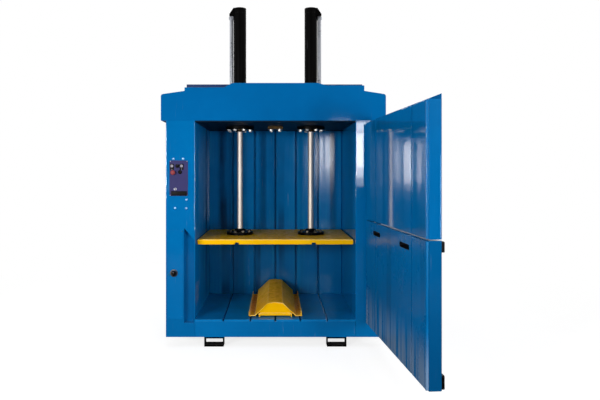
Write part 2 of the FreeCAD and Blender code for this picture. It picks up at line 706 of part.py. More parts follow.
def cylinder_gland(side):
    """The bolted gland under the ceiling, which closes the barrel round the rod."""
    low = CEILING_Z - GLAND_THICKNESS
    bore = ROD_RADIUS + ROD_CLEARANCE
    return ring(GLAND_RADIUS, bore, cylinder_centre(side, low), Z_AXIS, GLAND_THICKNESS)


def bolt_ring(centre, radius, count, axis):
    """Hexagon heads evenly spaced on a circle."""
    heads = []
    for index in range(count):
        angle = 2 * math.pi * (index + 0.5) / count
        spot = centre + Vector(radius * math.cos(angle), radius * math.sin(angle), 0)
        heads.append(hex_head(BOLT_ACROSS_FLATS, spot, axis, BOLT_HEAD))
    return heads


def gland_bolts():
    """All bolt heads under the ceiling: both glands and the centre block."""
    down = Vector(0, 0, -1)
    heads = []
    for side in SIDES.values():
        centre = cylinder_centre(side, CEILING_Z - GLAND_THICKNESS)
        heads += bolt_ring(centre, GLAND_BOLT_CIRCLE, GLAND_BOLTS, down)
    for x in (-1, 1):
        for y in (-1, 1):
            across = x * (CENTRE_BLOCK_WIDTH / 2 - CENTRE_BOLT_INSET)
            deep = CYLINDER_DEPTH + y * (CENTRE_BLOCK_DEPTH / 2 - CENTRE_BOLT_INSET)
            spot = Vector(across, deep, CEILING_Z - CENTRE_BLOCK_THICKNESS)
            heads.append(hex_head(BOLT_ACROSS_FLATS, spot, down, BOLT_HEAD))
    return heads


def centre_block():
    """The block bolted under the ceiling between the two glands."""
    half = CENTRE_BLOCK_WIDTH / 2
    deep = (CYLINDER_DEPTH - CENTRE_BLOCK_DEPTH / 2, CYLINDER_DEPTH + CENTRE_BLOCK_DEPTH / 2)
    return box((-half, half), deep, (CEILING_Z - CENTRE_BLOCK_THICKNESS, CEILING_Z))


def elbow(point):
    """A square elbow fitting where two pipes meet."""
    half = ELBOW_SIZE / 2
    return box(*[(value - half, value + half) for value in point])


def return_pipe(side):
    """The zinc pipe from the port block down beside the barrel, and back to the valve tower's cross bar."""
    top = cylinder_centre(side, POST_TOP - PORT_BLOCK_HEIGHT) + X_AXIS * (side * PIPE_OFFSET)
    corner = Vector(top.x, top.y, PIPE_LEVEL)
    down = cylinder(PIPE_RADIUS, corner, Z_AXIS, top.z - PIPE_LEVEL)
    back = cylinder(PIPE_RADIUS, corner, Y_AXIS, VALVE_FRONT - corner.y)
    return fuse([down, elbow(corner), back])


def pressure_lines():
    """The square bar between the two barrels and its round branch from the valve tower."""
    reach = CYLINDER_SPACING / 2 - BARREL_RADIUS
    half = LINE_BAR / 2
    level = (PIPE_LEVEL - half, PIPE_LEVEL + half)
    across = box((-reach, reach), (CYLINDER_DEPTH - half, CYLINDER_DEPTH + half), level)
    start = Vector(0, CYLINDER_DEPTH, PIPE_LEVEL)
    branch = cylinder(LINE_RADIUS, start, Y_AXIS, VALVE_FRONT - CYLINDER_DEPTH)
    return across.fuse(branch).removeSplitter()


# ---- power unit

def oil_tank():
    """The hydraulic oil tank on the ceiling plate."""
    x = (TANK_INNER_END - TANK_LENGTH, TANK_INNER_END)
    y = (POWER_UNIT_FRONT, POWER_UNIT_FRONT + TANK_DEPTH)
    return square_tube(x, y, (PLATE_TOP, PLATE_TOP + TANK_HEIGHT), TANK_SHEET, "")


def motor_axis(x):
    """A point on the axis of the motor and pump."""
    return Vector(x, POWER_UNIT_FRONT + TANK_DEPTH / 2, PLATE_TOP + MOTOR_AXIS_HEIGHT)


def electric_motor():
    """The motor on its foot, with a flat for each of its cooling fins."""
    body = prism(MOTOR_FINS, MOTOR_RADIUS, motor_axis(MOTOR_INNER_END), X_AXIS, MOTOR_LENGTH)
    centre = motor_axis(MOTOR_INNER_END + MOTOR_LENGTH / 2)
    x = (centre.x - MOTOR_FOOT_LENGTH / 2, centre.x + MOTOR_FOOT_LENGTH / 2)
    y = (centre.y - MOTOR_FOOT_WIDTH / 2, centre.y + MOTOR_FOOT_WIDTH / 2)
    foot = box(x, y, (PLATE_TOP, centre.z - MOTOR_RADIUS / 2))
    return body.fuse(foot).removeSplitter()


def hydraulic_pump():
    """The gear pump on the motor's end, with its suction pipe from the tank."""
    centre = motor_axis(0)
    half = PUMP_SIZE / 2
    x = (MOTOR_INNER_END - PUMP_LENGTH, MOTOR_INNER_END)
    body = box(x, (centre.y - half, centre.y + half), (centre.z - half, centre.z + half))
    suction = cylinder(SUCTION_RADIUS, motor_axis(TANK_INNER_END), X_AXIS, x[0] - TANK_INNER_END)
    return body.fuse(suction).removeSplitter()


def valve_block():
    """The valve tower with the cross bar that joins the lines of both cylinders."""
    top = PIPE_LEVEL + ELBOW_SIZE / 2
    y = (VALVE_FRONT, VALVE_FRONT + VALVE_DEPTH)
    tower = box((-VALVE_WIDTH / 2, VALVE_WIDTH / 2), y, (PLATE_TOP, top))
    reach = CYLINDER_SPACING / 2 + PIPE_OFFSET + ELBOW_SIZE / 2
    bar = box((-reach, reach), (VALVE_FRONT, VALVE_FRONT + ELBOW_SIZE), (top - ELBOW_SIZE, top))
    return tower.fuse(bar).removeSplitter()


# ---- platen

def platen_plate():
    """The press platen with a strap notch under each rod."""
    across = (-PLATEN_HALF_WIDTH, PLATEN_HALF_WIDTH)
    deep = (PLATEN_FRONT, PLATEN_REAR)
    low = PLATEN_BOTTOM
    plate = rounded_front(across, deep, (low, PLATEN_TOP), PLATEN_EDGE_RADIUS)
    for side in SIDES.values():
        centre = side * CYLINDER_SPACING / 2
        notch = (centre - STRAP_NOTCH_WIDTH / 2, centre + STRAP_NOTCH_WIDTH / 2)
        plate = plate.cut(box(notch, deep, (low, low + STRAP_NOTCH_HEIGHT)))
    return plate


def rod(side):
    """A chromed piston rod from its flange's collar up into its piston."""
    low = PLATEN_TOP + ROD_COLLAR_HEIGHT
    return cylinder(ROD_RADIUS, cylinder_centre(side, low), Z_AXIS, PISTON_BOTTOM - low)


def piston(side):
    """A piston on the end of its rod."""
    radius = BORE_RADIUS - PISTON_CLEARANCE
    return cylinder(radius, cylinder_centre(side, PISTON_BOTTOM), Z_AXIS, PISTON_LENGTH)


def rod_flange(side):
    """The flange and collar that bolt a rod to the platen."""
    centre = cylinder_centre(side, PLATEN_TOP)
    disc = cylinder(ROD_FLANGE_RADIUS, centre, Z_AXIS, ROD_FLANGE_THICKNESS)
    collar = cylinder(ROD_COLLAR_RADIUS, centre, Z_AXIS, ROD_COLLAR_HEIGHT)
    return disc.fuse(collar).removeSplitter()


def flange_bolts():
    """Bolt heads on both rod flanges."""
    heads = []
    for side in SIDES.values():
        centre = cylinder_centre(side, PLATEN_TOP + ROD_FLANGE_THICKNESS)
        heads += bolt_ring(centre, ROD_FLANGE_BOLT_CIRCLE, GLAND_BOLTS, Z_AXIS)
    return heads


# ---- doors

def open_door(shape):
    """Turn a piece drawn on the closed door to the door's open position."""
    turned = shape.copy()
    turned.rotate(Vector(HINGE_X, HINGE_Y, 0), Z_AXIS, DOOR_OPEN_ANGLE)
    return turned


def door_x():
    """Span of a closed door across the machine."""
    return (DOOR_FREE_EDGE, DOOR_HINGE_EDGE)


def door_eye(level):
    """The door's half of a hinge: a flat eye with a round end, out from the door's edge."""
    z = (level + EYE_GAP, level + EYE_GAP + EYE_HEIGHT)
    y = (HINGE_Y - EYE_RADIUS, HINGE_Y + EYE_RADIUS)
    tip = HINGE_X + EYE_RADIUS
    outline = [(DOOR_HINGE_EDGE, y[0], 0), (tip, y[0], EYE_RADIUS), (tip, y[1], EYE_RADIUS)]
    eye = plan_profile(outline + [(DOOR_HINGE_EDGE, y[1], 0)], z)
    centre = Vector(HINGE_X, HINGE_Y, z[0])
    return eye.cut(cylinder(HINGE_PIN_RADIUS + HINGE_CLEARANCE, centre, Z_AXIS, EYE_HEIGHT))


def slot_span(centre, grow):
    """Spans across and up of a strap slot in the closed door."""
    half = STRAP_SLOT_LENGTH / 2 + grow
    height = STRAP_SLOT_HEIGHT / 2 + grow
    return (centre - half, centre + half), (STRAP_SLOT_Z - height, STRAP_SLOT_Z + height)


def slot_body(centre, y):
    """A long round-ended slot through the door."""
    x, z = slot_span(centre, 0)
    return rounded_front(x, y, z, STRAP_SLOT_RADIUS)


def door_shell(z, hinges, lip, slots):
    """A folded door tray with inner flanges, two stiffeners, hinge eyes and slot sleeves."""
    x = door_x()
    back = (DOOR_OUTER_Y, DOOR_FRAME_Y)
    radius = DOOR_EDGE_RADIUS
    outline = [(x[0], back[0], radius), (x[1], back[0], radius), (x[1], back[1], 0), (x[0], back[1], 0)]
    tray = plan_profile(outline, z)
    inner = [(value[0] + DOOR_SHEET, value[1] - DOOR_SHEET) for value in (x, z)]
    tray = tray.cut(box(inner[0], (back[0] + DOOR_SHEET, back[1] - DOOR_SHEET), inner[1]))
    mouth = [(value[0] + DOOR_FLANGE, value[1] - DOOR_FLANGE) for value in (x, z)]
    tray = tray.cut(box(mouth[0], (back[1] - DOOR_SHEET, back[1]), mouth[1]))
    parts = [tray]
    if lip:
        across = (x[0] + radius, x[1] - radius)
        parts.append(box(across, (back[0], back[0] + DOOR_SHEET), (z[1] - DOOR_SHEET, z[1] + lip)))
    for centre in (-OUTER_GROOVE, OUTER_GROOVE):
        span = (centre - STIFFENER_WIDTH / 2, centre + STIFFENER_WIDTH / 2)
        parts.append(square_tube(span, (back[0] + DOOR_SHEET, back[1]), inner[1], DOOR_SHEET, "z"))
    for level in hinges:
        parts.append(door_eye(level))
    for place in slots:
        across, level = slot_span(place, SLOT_SLEEVE)
        parts.append(box(across, (back[0] + DOOR_SHEET, back[1]), level))
    whole = fuse(parts)
    for place in slots:
        whole = whole.cut(slot_body(place, back))
    return open_door(whole)


def door_liner(z, slots):
    """Inner planks of a door, with a strap groove over each stiffener."""
    x = door_x()
    planks = []
    low = x[0] + LINER_EDGE
    level = (z[0] + LINER_EDGE, z[1] - LINER_EDGE)
    for groove in (-OUTER_GROOVE, OUTER_GROOVE, x[1] - LINER_EDGE + GROOVE_WIDTH / 2):
        plank = box((low, groove - GROOVE_WIDTH / 2), (DOOR_FRAME_Y, DOOR_INNER_Y), level)
        for place in slots:
            plank = plank.cut(slot_body(place, (DOOR_FRAME_Y, DOOR_INNER_Y)))
        planks.append(open_door(plank))
        low = groove + GROOVE_WIDTH / 2
    return planks


def hinge_brackets():
    """The fixed halves of the lift-off hinges: a plate on the column, a round-ended eye and its pin."""
    brackets = []
    x = (HINGE_X - EYE_RADIUS, HINGE_X + EYE_RADIUS)
    tip = HINGE_Y - EYE_RADIUS
    outline = [(x[0], 0, 0), (x[0], tip, EYE_RADIUS), (x[1], tip, EYE_RADIUS), (x[1], 0, 0)]
    for level in LOWER_HINGES + UPPER_HINGES:
        eye = plan_profile(outline, (level - EYE_HEIGHT, level))
        centre = Vector(HINGE_X, HINGE_Y, level)
        pin = cylinder(HINGE_PIN_RADIUS, centre, Z_AXIS, EYE_HEIGHT + HINGE_PIN_PROUD)
        plate = box((x[0], x[0] + BRACKET_WIDTH), (-BRACKET_PLATE, 0), (level - BRACKET_HEIGHT, level))
        brackets.append(fuse([eye, plate, pin]))
    return brackets


def lock_lugs():
    """The two black lugs on the lower door's outer face, at its free edge."""
    lugs = []
    x = (DOOR_FREE_EDGE + DOOR_EDGE_RADIUS, DOOR_FREE_EDGE + DOOR_EDGE_RADIUS + LUG_WIDTH)
    for z in (UPPER_LUG, LOWER_LUG):
        lug = front_profile(cut_corners(x, z, LUG_CORNER), (DOOR_OUTER_Y - LUG_DEPTH, DOOR_OUTER_Y))
        lugs.append(open_door(lug))
    return lugs


def door_handle():
    """The flat bar handle on the upper door's outer face, bent at each end."""
    x = DOOR_FREE_EDGE + HANDLE_FROM_EDGE
    low = HANDLE_CENTRE - HANDLE_LENGTH / 2
    high = HANDLE_CENTRE + HANDLE_LENGTH / 2
    bar = HANDLE_BAR
    near = DOOR_OUTER_Y
    far = DOOR_OUTER_Y - HANDLE_STANDOFF
    outer = [(near, low, 0), (far, low, HANDLE_BEND), (far, high, HANDLE_BEND), (near, high, 0)]
    inner_bend = HANDLE_BEND - bar
    inner = [(near, high - bar, 0), (far + bar, high - bar, inner_bend)]
    inner += [(far + bar, low + bar, inner_bend), (near, low + bar, 0)]
    face = profile_face(outer + inner, lambda u, v: Vector(x, u, v))
    return open_door(face.extrude(X_AXIS * HANDLE_WIDTH))


# ---- ejector

def tilted(shape, angle):
    """Tilt a piece of the ejector up towards its back, about its lower front edge."""
    turned = shape.copy()
    turned.rotate(Vector(0, PLATEN_FRONT, FLOOR_Z), X_AXIS, angle)
    return turned


def saddle_prism(inset, y):
    """The saddle's roofed form between two depths, tilted up towards the back."""
    wall = EJECTOR_WALL_HALF_WIDTH
    half = [(wall, -EJECTOR_RIDGE_HEIGHT), (wall, EJECTOR_EAVE_HEIGHT)]
    half.append((EJECTOR_SHOULDER_HALF_WIDTH, EJECTOR_SHOULDER_HEIGHT))
    points = half + [(0.0, EJECTOR_RIDGE_HEIGHT)] + [(-x, z) for x, z in reversed(half)]
    corners = [Vector(x, y[0], FLOOR_Z + z) for x, z in points]
    face = Part.Face(Part.makePolygon(corners + corners[:1]))
    if inset:
        face = face.makeOffset2D(-inset, 2)
    return tilted(face.extrude(Vector(0, y[1] - y[0], 0)), EJECTOR_TILT)


def floor_slope():
    """Angle between the floor and the ejector's lower edge, which nears it towards the back."""
    drop = EJECTOR_FLOOR_GAP_FRONT - EJECTOR_FLOOR_GAP_REAR
    return -math.degrees(math.atan2(drop, EJECTOR_LENGTH))


def saddle_gutter(side, rear):
    """The turned-up flange along one lower edge of the saddle."""
    inner = side * (EJECTOR_WALL_HALF_WIDTH - EJECTOR_SHEET)
    outer = side * (EJECTOR_WALL_HALF_WIDTH + EJECTOR_GUTTER_WIDTH)
    low = FLOOR_Z + EJECTOR_FLOOR_GAP_FRONT
    deep = (PLATEN_FRONT, rear)
    foot = box(sorted((inner, outer)), deep, (low, low + EJECTOR_SHEET))
    lip = box(sorted((outer, outer - side * EJECTOR_SHEET)), deep, (low, low + EJECTOR_LIP))
    return tilted(foot.fuse(lip), floor_slope())


def below_saddle():
    """The space under the saddle's lower edge."""
    reach = EJECTOR_WALL_HALF_WIDTH + EJECTOR_SHEET
    across = (-reach, reach)
    high = FLOOR_Z + EJECTOR_FLOOR_GAP_FRONT
    return tilted(box(across, (0, 2 * CHAMBER_DEPTH), (0, high)), floor_slope())


def pivot_bar(radius, half_length):
    """A round bar along the ejector's pivot."""
    return cylinder(radius, Vector(-half_length, PIVOT_Y, PIVOT_Z), X_AXIS, 2 * half_length)


def ear_x(side, grow):
    """Span of one pivot ear, with room added on both faces."""
    inner = PIVOT_TUBE_HALF_LENGTH + PIVOT_EAR_GAP
    return sorted((side * (inner - grow), side * (inner + PIVOT_EAR_THICKNESS + grow)))


def saddle_face():
    """The plate that closes the saddle's front, notched round the pivot ears."""
    near = PLATEN_FRONT + EJECTOR_FACE_SETBACK
    across = (-EJECTOR_FACE_HALF_WIDTH, EJECTOR_FACE_HALF_WIDTH)
    above = box(across, (0, CHAMBER_DEPTH), (FLOOR_Z + EJECTOR_FACE_GAP, CEILING_Z))
    face = saddle_prism(EJECTOR_SHEET / 2, (near, near + EJECTOR_SHEET)).common(above)
    notch = PIVOT_EAR_RADIUS + PIVOT_EAR_NOTCH
    for side in SIDES.values():
        face = face.cut(box(ear_x(side, PIVOT_EAR_GAP), (0, CHAMBER_DEPTH), (FLOOR_Z, PIVOT_Z + notch)))
    return face


def ejector_saddle():
    """The folded saddle with its flanges, front plate and the tube that turns on the pivot pin."""
    rear = PLATEN_FRONT + EJECTOR_LENGTH
    shell = saddle_prism(0, (PLATEN_FRONT, rear)).cut(saddle_prism(EJECTOR_SHEET, (0, 2 * CHAMBER_DEPTH)))
    parts = [shell.cut(below_saddle()), saddle_face(), pivot_bar(PIVOT_TUBE_RADIUS, PIVOT_TUBE_HALF_LENGTH)]
    for side in SIDES.values():
        parts.append(saddle_gutter(side, rear))
    return fuse(parts).cut(pivot_bar(PIVOT_PIN_RADIUS + PIVOT_CLEARANCE, PIVOT_TUBE_HALF_LENGTH))


def ejector_pivot():
    """The pin and the two ears that carry it on the floor."""
    parts = [pivot_bar(PIVOT_PIN_RADIUS, PIVOT_TUBE_HALF_LENGTH + PIVOT_EAR_GAP + PIVOT_EAR_THICKNESS)]
    for side in SIDES.values():
        x = ear_x(side, 0)
        parts.append(box(x, (PIVOT_Y - PIVOT_EAR_RADIUS, PIVOT_Y + PIVOT_EAR_RADIUS), (FLOOR_Z, PIVOT_Z)))
        parts.append(cylinder(PIVOT_EAR_RADIUS, Vector(x[0], PIVOT_Y, PIVOT_Z), X_AXIS, PIVOT_EAR_THICKNESS))
    return fuse(parts)


# ---- controls and lock

def panel_x():
    """Span of the control panel."""
    return (PANEL_LEFT, PANEL_LEFT + PANEL_WIDTH)


def panel_spot(place):
    """The (x, z) spot of a place given across and down from the panel's upper left corner."""
    return (PANEL_LEFT + place[0], PANEL_TOP - place[1])


def enclosure_x(inset):
    """Span of the enclosure behind the panel."""
    low, high = panel_x()
    return (low + ENCLOSURE_INSET + inset, high - ENCLOSURE_INSET - inset)


def enclosure_z(inset):
    """Heights of the enclosure behind the panel."""
    low = PANEL_BOTTOM + ENCLOSURE_INSET
    high = PANEL_TOP - ENCLOSURE_INSET
    return (low + inset, high - inset)


def at_front(spot, y):
    """A point at an (x, z) spot on the column's front."""
    return Vector(spot[0], y, spot[1])


def control_enclosure():
    """The box behind the panel, open to the front."""
    outside = box(enclosure_x(0), (0, ENCLOSURE_DEPTH), enclosure_z(0))
    inside_y = (0, ENCLOSURE_DEPTH - ENCLOSURE_WALL)
    return outside.cut(box(enclosure_x(ENCLOSURE_WALL), inside_y, enclosure_z(ENCLOSURE_WALL)))


def control_panel():
    """The panel plate with a hole for each control."""
    outline = cut_corners(panel_x(), (PANEL_BOTTOM, PANEL_TOP), PANEL_CORNER)
    panel = front_profile(outline, (-PANEL_SHEET, 0))
    hole = BUTTON_RADIUS + BUTTON_CLEARANCE
    for place in (UP_BUTTON, SELECTOR, DOWN_BUTTON, STOP_BUTTON, RESET_BUTTON):
        start = at_front(panel_spot(place), -PANEL_SHEET)
        panel = panel.cut(prism(BUTTON_SIDES, hole, start, Y_AXIS, PANEL_SHEET))
    return panel


def button_plunger(place, proud):
    """A plunger through the panel, standing out of it by its bezel's height and more."""
    front = -PANEL_SHEET - BEZEL_HEIGHT - proud
    start = at_front(panel_spot(place), front)
    return prism(BUTTON_SIDES, BUTTON_RADIUS, start, Y_AXIS, BUTTON_TAIL - front)


def stop_button():
    """The red mushroom head on its plunger."""
    plunger = button_plunger(STOP_BUTTON, STOP_HEAD_LIFT)
    front = -PANEL_SHEET - BEZEL_HEIGHT - STOP_HEAD_LIFT - STOP_HEAD_HEIGHT
    start = at_front(panel_spot(STOP_BUTTON), front)
    head = prism(BUTTON_SIDES, STOP_HEAD_RADIUS, start, Y_AXIS, STOP_HEAD_HEIGHT)
    return head.fuse(plunger).removeSplitter()


def selector_switch():
    """The black selector with a raised bar to turn it by and a round spindle behind it."""
    knob = button_plunger(SELECTOR, BUTTON_PROUD)
    front = -PANEL_SHEET - BEZEL_HEIGHT - BUTTON_PROUD
    spot = panel_spot(SELECTOR)
    x = (spot[0] - SELECTOR_BAR / 2, spot[0] + SELECTOR_BAR / 2)
    z = (spot[1] - SELECTOR_REACH, spot[1] + SELECTOR_REACH)
    spindle = cylinder(SPINDLE_RADIUS, at_front(spot, BUTTON_TAIL), Y_AXIS, SPINDLE_LENGTH)
    return fuse([knob, box(x, (front - SELECTOR_BAR, front), z), spindle])


def panel_lamp():
    """The small lamp low on the panel."""
    spot = (PANEL_LEFT + LAMP[0], PANEL_BOTTOM + LAMP[1])
    start = at_front(spot, -PANEL_SHEET - LAMP_HEIGHT)
    return prism(BUTTON_SIDES, BUTTON_RADIUS, start, Y_AXIS, LAMP_HEIGHT)


def panel_strip():
    """The black strip along the panel's lower edge."""
    left = PANEL_LEFT + STRIP_FROM_SIDE
    bottom = PANEL_BOTTOM + STRIP_FROM_BOTTOM
    x = (left, left + STRIP_LENGTH)
    z = (bottom, bottom + STRIP_HEIGHT)
    return front_profile(cut_corners(x, z, STRIP_CORNER), (-PANEL_SHEET - STRIP_DEPTH, -PANEL_SHEET))


def lock_cover():
    """The plate over the lock, with a raised ring round the knob."""
    x = (LOCK_COVER_LEFT, LOCK_COVER_LEFT + LOCK_COVER_WIDTH)
    z = (LOCK_COVER_BOTTOM, LOCK_COVER_TOP)
    plate = front_profile(cut_corners(x, z, LOCK_COVER_CORNER), (-LOCK_COVER_SHEET, 0))
    front = -LOCK_COVER_SHEET - KNOB_RING_HEIGHT
    raised = cylinder(KNOB_RING_RADIUS, at_front(KNOB_CENTRE, front), Y_AXIS, KNOB_RING_HEIGHT)
    bore = cylinder(KNOB_STEM_RADIUS + BUTTON_CLEARANCE, at_front(KNOB_CENTRE, front), Y_AXIS, -front)
    return fuse([plate, raised]).cut(bore)


def lock_knob():
    """The black knob, with two flats to grip it by, and its stem."""
    front = -LOCK_COVER_SHEET - KNOB_RING_HEIGHT - BUTTON_CLEARANCE
    knob = prism(BUTTON_SIDES, KNOB_RADIUS, at_front(KNOB_CENTRE, front - KNOB_HEIGHT), Y_AXIS, KNOB_HEIGHT)
    for side in SIDES.values():
        x = sorted((KNOB_CENTRE[0] + side * KNOB_GRIP, KNOB_CENTRE[0] + side * KNOB_RADIUS))
        z = (KNOB_CENTRE[1] - KNOB_RADIUS, KNOB_CENTRE[1] + KNOB_RADIUS)
        knob = knob.cut(box(x, (front - KNOB_HEIGHT, front - KNOB_BASE), z))
    stem = cylinder(KNOB_STEM_RADIUS, at_front(KNOB_CENTRE, front), Y_AXIS, -front - KNOB_STEM_CLEARANCE)
    return knob.fuse(stem).removeSplitter()


def build():
    """All pieces by name; a list stands for separate solids of one kind."""
    lower = (LOWER_DOOR_BOTTOM, LOWER_DOOR_TOP)
    slots = (RIGHT_SLOT_X, LEFT_SLOT_X)
    upper = (UPPER_DOOR_BOTTOM, UPPER_DOOR_TOP)
    pieces = {
        "base_frame": base_frame(),
        "floor_planks": floor_planks(),
        "left_column": left_column(),
        "right_column": right_column(),
        "back_frame": back_frame(),
        "back_planks": back_planks(),
        "crosshead": crosshead(),
        "hood": hood(),
        "service_lid": service_lid(),
        "cylinder_caps": [cylinder_cap(side) for side in SIDES.values()],
        "cylinder_glands": [cylinder_gland(side) for side in SIDES.values()],
        "gland_bolts": gland_bolts(),
        "centre_block": centre_block(),
        "pressure_lines": pressure_lines(),
        "oil_tank": oil_tank(),
        "electric_motor": electric_motor(),
        "hydraulic_pump": hydraulic_pump(),
        "valve_block": valve_block(),
        "platen_plate": platen_plate(),
        "rod_flanges": [rod_flange(side) for side in SIDES.values()],
        "flange_bolts": flange_bolts(),
        "pistons": [piston(side) for side in SIDES.values()],
        "hinge_brackets": hinge_brackets(),
        "upper_door_shell": door_shell(upper, UPPER_HINGES, DOOR_LIP, ()),
        "upper_door_liner": door_liner(upper, ()),
        "upper_door_handle": door_handle(),
        "lower_door_shell": door_shell(lower, LOWER_HINGES, 0, slots),
        "lower_door_liner": door_liner(lower, slots),
        "lock_lugs": lock_lugs(),
        "ejector_saddle": ejector_saddle(),
        "ejector_pivot": ejector_pivot(),
        "control_enclosure": control_enclosure(),
        "control_panel": control_panel(),
        "up_button": button_plunger(UP_BUTTON, BUTTON_PROUD),
        "down_button": button_plunger(DOWN_BUTTON, BUTTON_PROUD),
        "reset_button": button_plunger(RESET_BUTTON, BUTTON_PROUD),
        "stop_button": stop_button(),
        "selector_switch": selector_switch(),
        "panel_lamp": panel_lamp(),
        "panel_strip": panel_strip(),
        "lock_cover": lock_cover(),
        "lock_knob": lock_knob(),
    }
    for name, side in SIDES.items():
        pieces[name + "_side_wall"] = side_wall(side)
        pieces["front_" + name + "_fork_loop"] = fork_loop(side, True)
        pieces["rear_" + name + "_fork_loop"] = fork_loop(side, False)
        pieces[name + "_cylinder_barrel"] = cylinder_barrel(side)
        pieces[name + "_return_pipe"] = return_pipe(side)
        pieces[name + "_rod"] = rod(side)
    return pieces


def main():
    """Write each piece to its own STEP file."""
    os.makedirs("parts", exist_ok=True)
    for name, shape in build().items():
        if isinstance(shape, list):
            shape = Part.makeCompound(shape)
        shape.exportStep("parts/" + name + ".step")


main()
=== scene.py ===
import json
import logging
import math
from dataclasses import asdict, dataclass, field, fields, replace
from enum import Enum
from typing import Iterable, Sequence

import bmesh
import bpy
from mathutils import Matrix, Vector


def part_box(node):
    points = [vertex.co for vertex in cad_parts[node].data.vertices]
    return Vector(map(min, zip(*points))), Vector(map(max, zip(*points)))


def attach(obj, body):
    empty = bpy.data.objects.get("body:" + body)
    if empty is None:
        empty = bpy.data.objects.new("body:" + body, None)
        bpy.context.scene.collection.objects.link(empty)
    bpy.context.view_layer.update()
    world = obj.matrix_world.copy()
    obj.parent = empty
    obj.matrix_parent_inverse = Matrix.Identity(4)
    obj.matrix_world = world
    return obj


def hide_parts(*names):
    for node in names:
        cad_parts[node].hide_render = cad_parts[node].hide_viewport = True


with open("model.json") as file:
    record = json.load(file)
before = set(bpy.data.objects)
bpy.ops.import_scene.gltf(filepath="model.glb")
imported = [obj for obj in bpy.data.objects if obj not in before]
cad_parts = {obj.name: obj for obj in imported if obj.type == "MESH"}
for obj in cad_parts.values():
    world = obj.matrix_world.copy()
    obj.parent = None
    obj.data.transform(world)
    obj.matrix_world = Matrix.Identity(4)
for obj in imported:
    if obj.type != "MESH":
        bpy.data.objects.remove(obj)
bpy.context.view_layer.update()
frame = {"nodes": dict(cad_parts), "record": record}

LOG = logging.getLogger("baler")

Colour = tuple[float, float, float]
Point = tuple[float, float, float]
Pair = tuple[float, float]
Profile = Sequence[Pair]

Y_AXIS = Vector((0, 1, 0))
Z_AXIS = Vector((0, 0, 1))
SIDES = ("left", "right")


class Body(str, Enum):
    """The bodies that pieces ride on."""

    FRAME = "frame"
    PLATEN = "platen"
    UPPER_DOOR = "upper_door"
    LOWER_DOOR = "lower_door"
    KNOB = "knob"
    UP = "up_button"
    DOWN = "down_button"
    STOP = "stop_button"
    RESET = "reset_button"
    SELECTOR = "selector"


class Slot(str, Enum):
    """The finishes that the record names."""

    BLUE = "blue_paint"
    NAVY = "navy_paint"
    YELLOW = "yellow_paint"
    BLACK = "black_paint"
    CHROME = "chrome"
    ZINC = "zinc"
    STEEL = "steel"
    BRASS = "brass"
    PANEL_GREY = "panel_grey"
    MOTOR_GREY = "motor_grey"
    BLACK_PLASTIC = "black_plastic"
    WHITE_PLASTIC = "white_plastic"
    RED_PLASTIC = "red_plastic"


class Kind(str, Enum):
    """Kinds of socket on a node group."""

    FLOAT = "NodeSocketFloat"
    VECTOR = "NodeSocketVector"
    GEOMETRY = "NodeSocketGeometry"
    MATERIAL = "NodeSocketMaterial"


# ---- node trees


def label(name: str) -> str:
    """A socket's label from its name in code."""
    return name.replace("_", " ").title()


def grey(value: float) -> tuple[float, float, float, float]:
    """A grey colour of one value."""
    return (value, value, value, 1.0)


def with_alpha(colour: Colour) -> tuple[float, float, float, float]:
    """A colour with full alpha."""
    return (*colour, 1.0)


def srgb(red: int, green: int, blue: int) -> Colour:
    """A linear colour from 0 to 255 display values."""
    return tuple((value / 255 / 12.92) if value < 11 else ((value / 255 + 0.055) / 1.055) ** 2.4
                 for value in (red, green, blue))


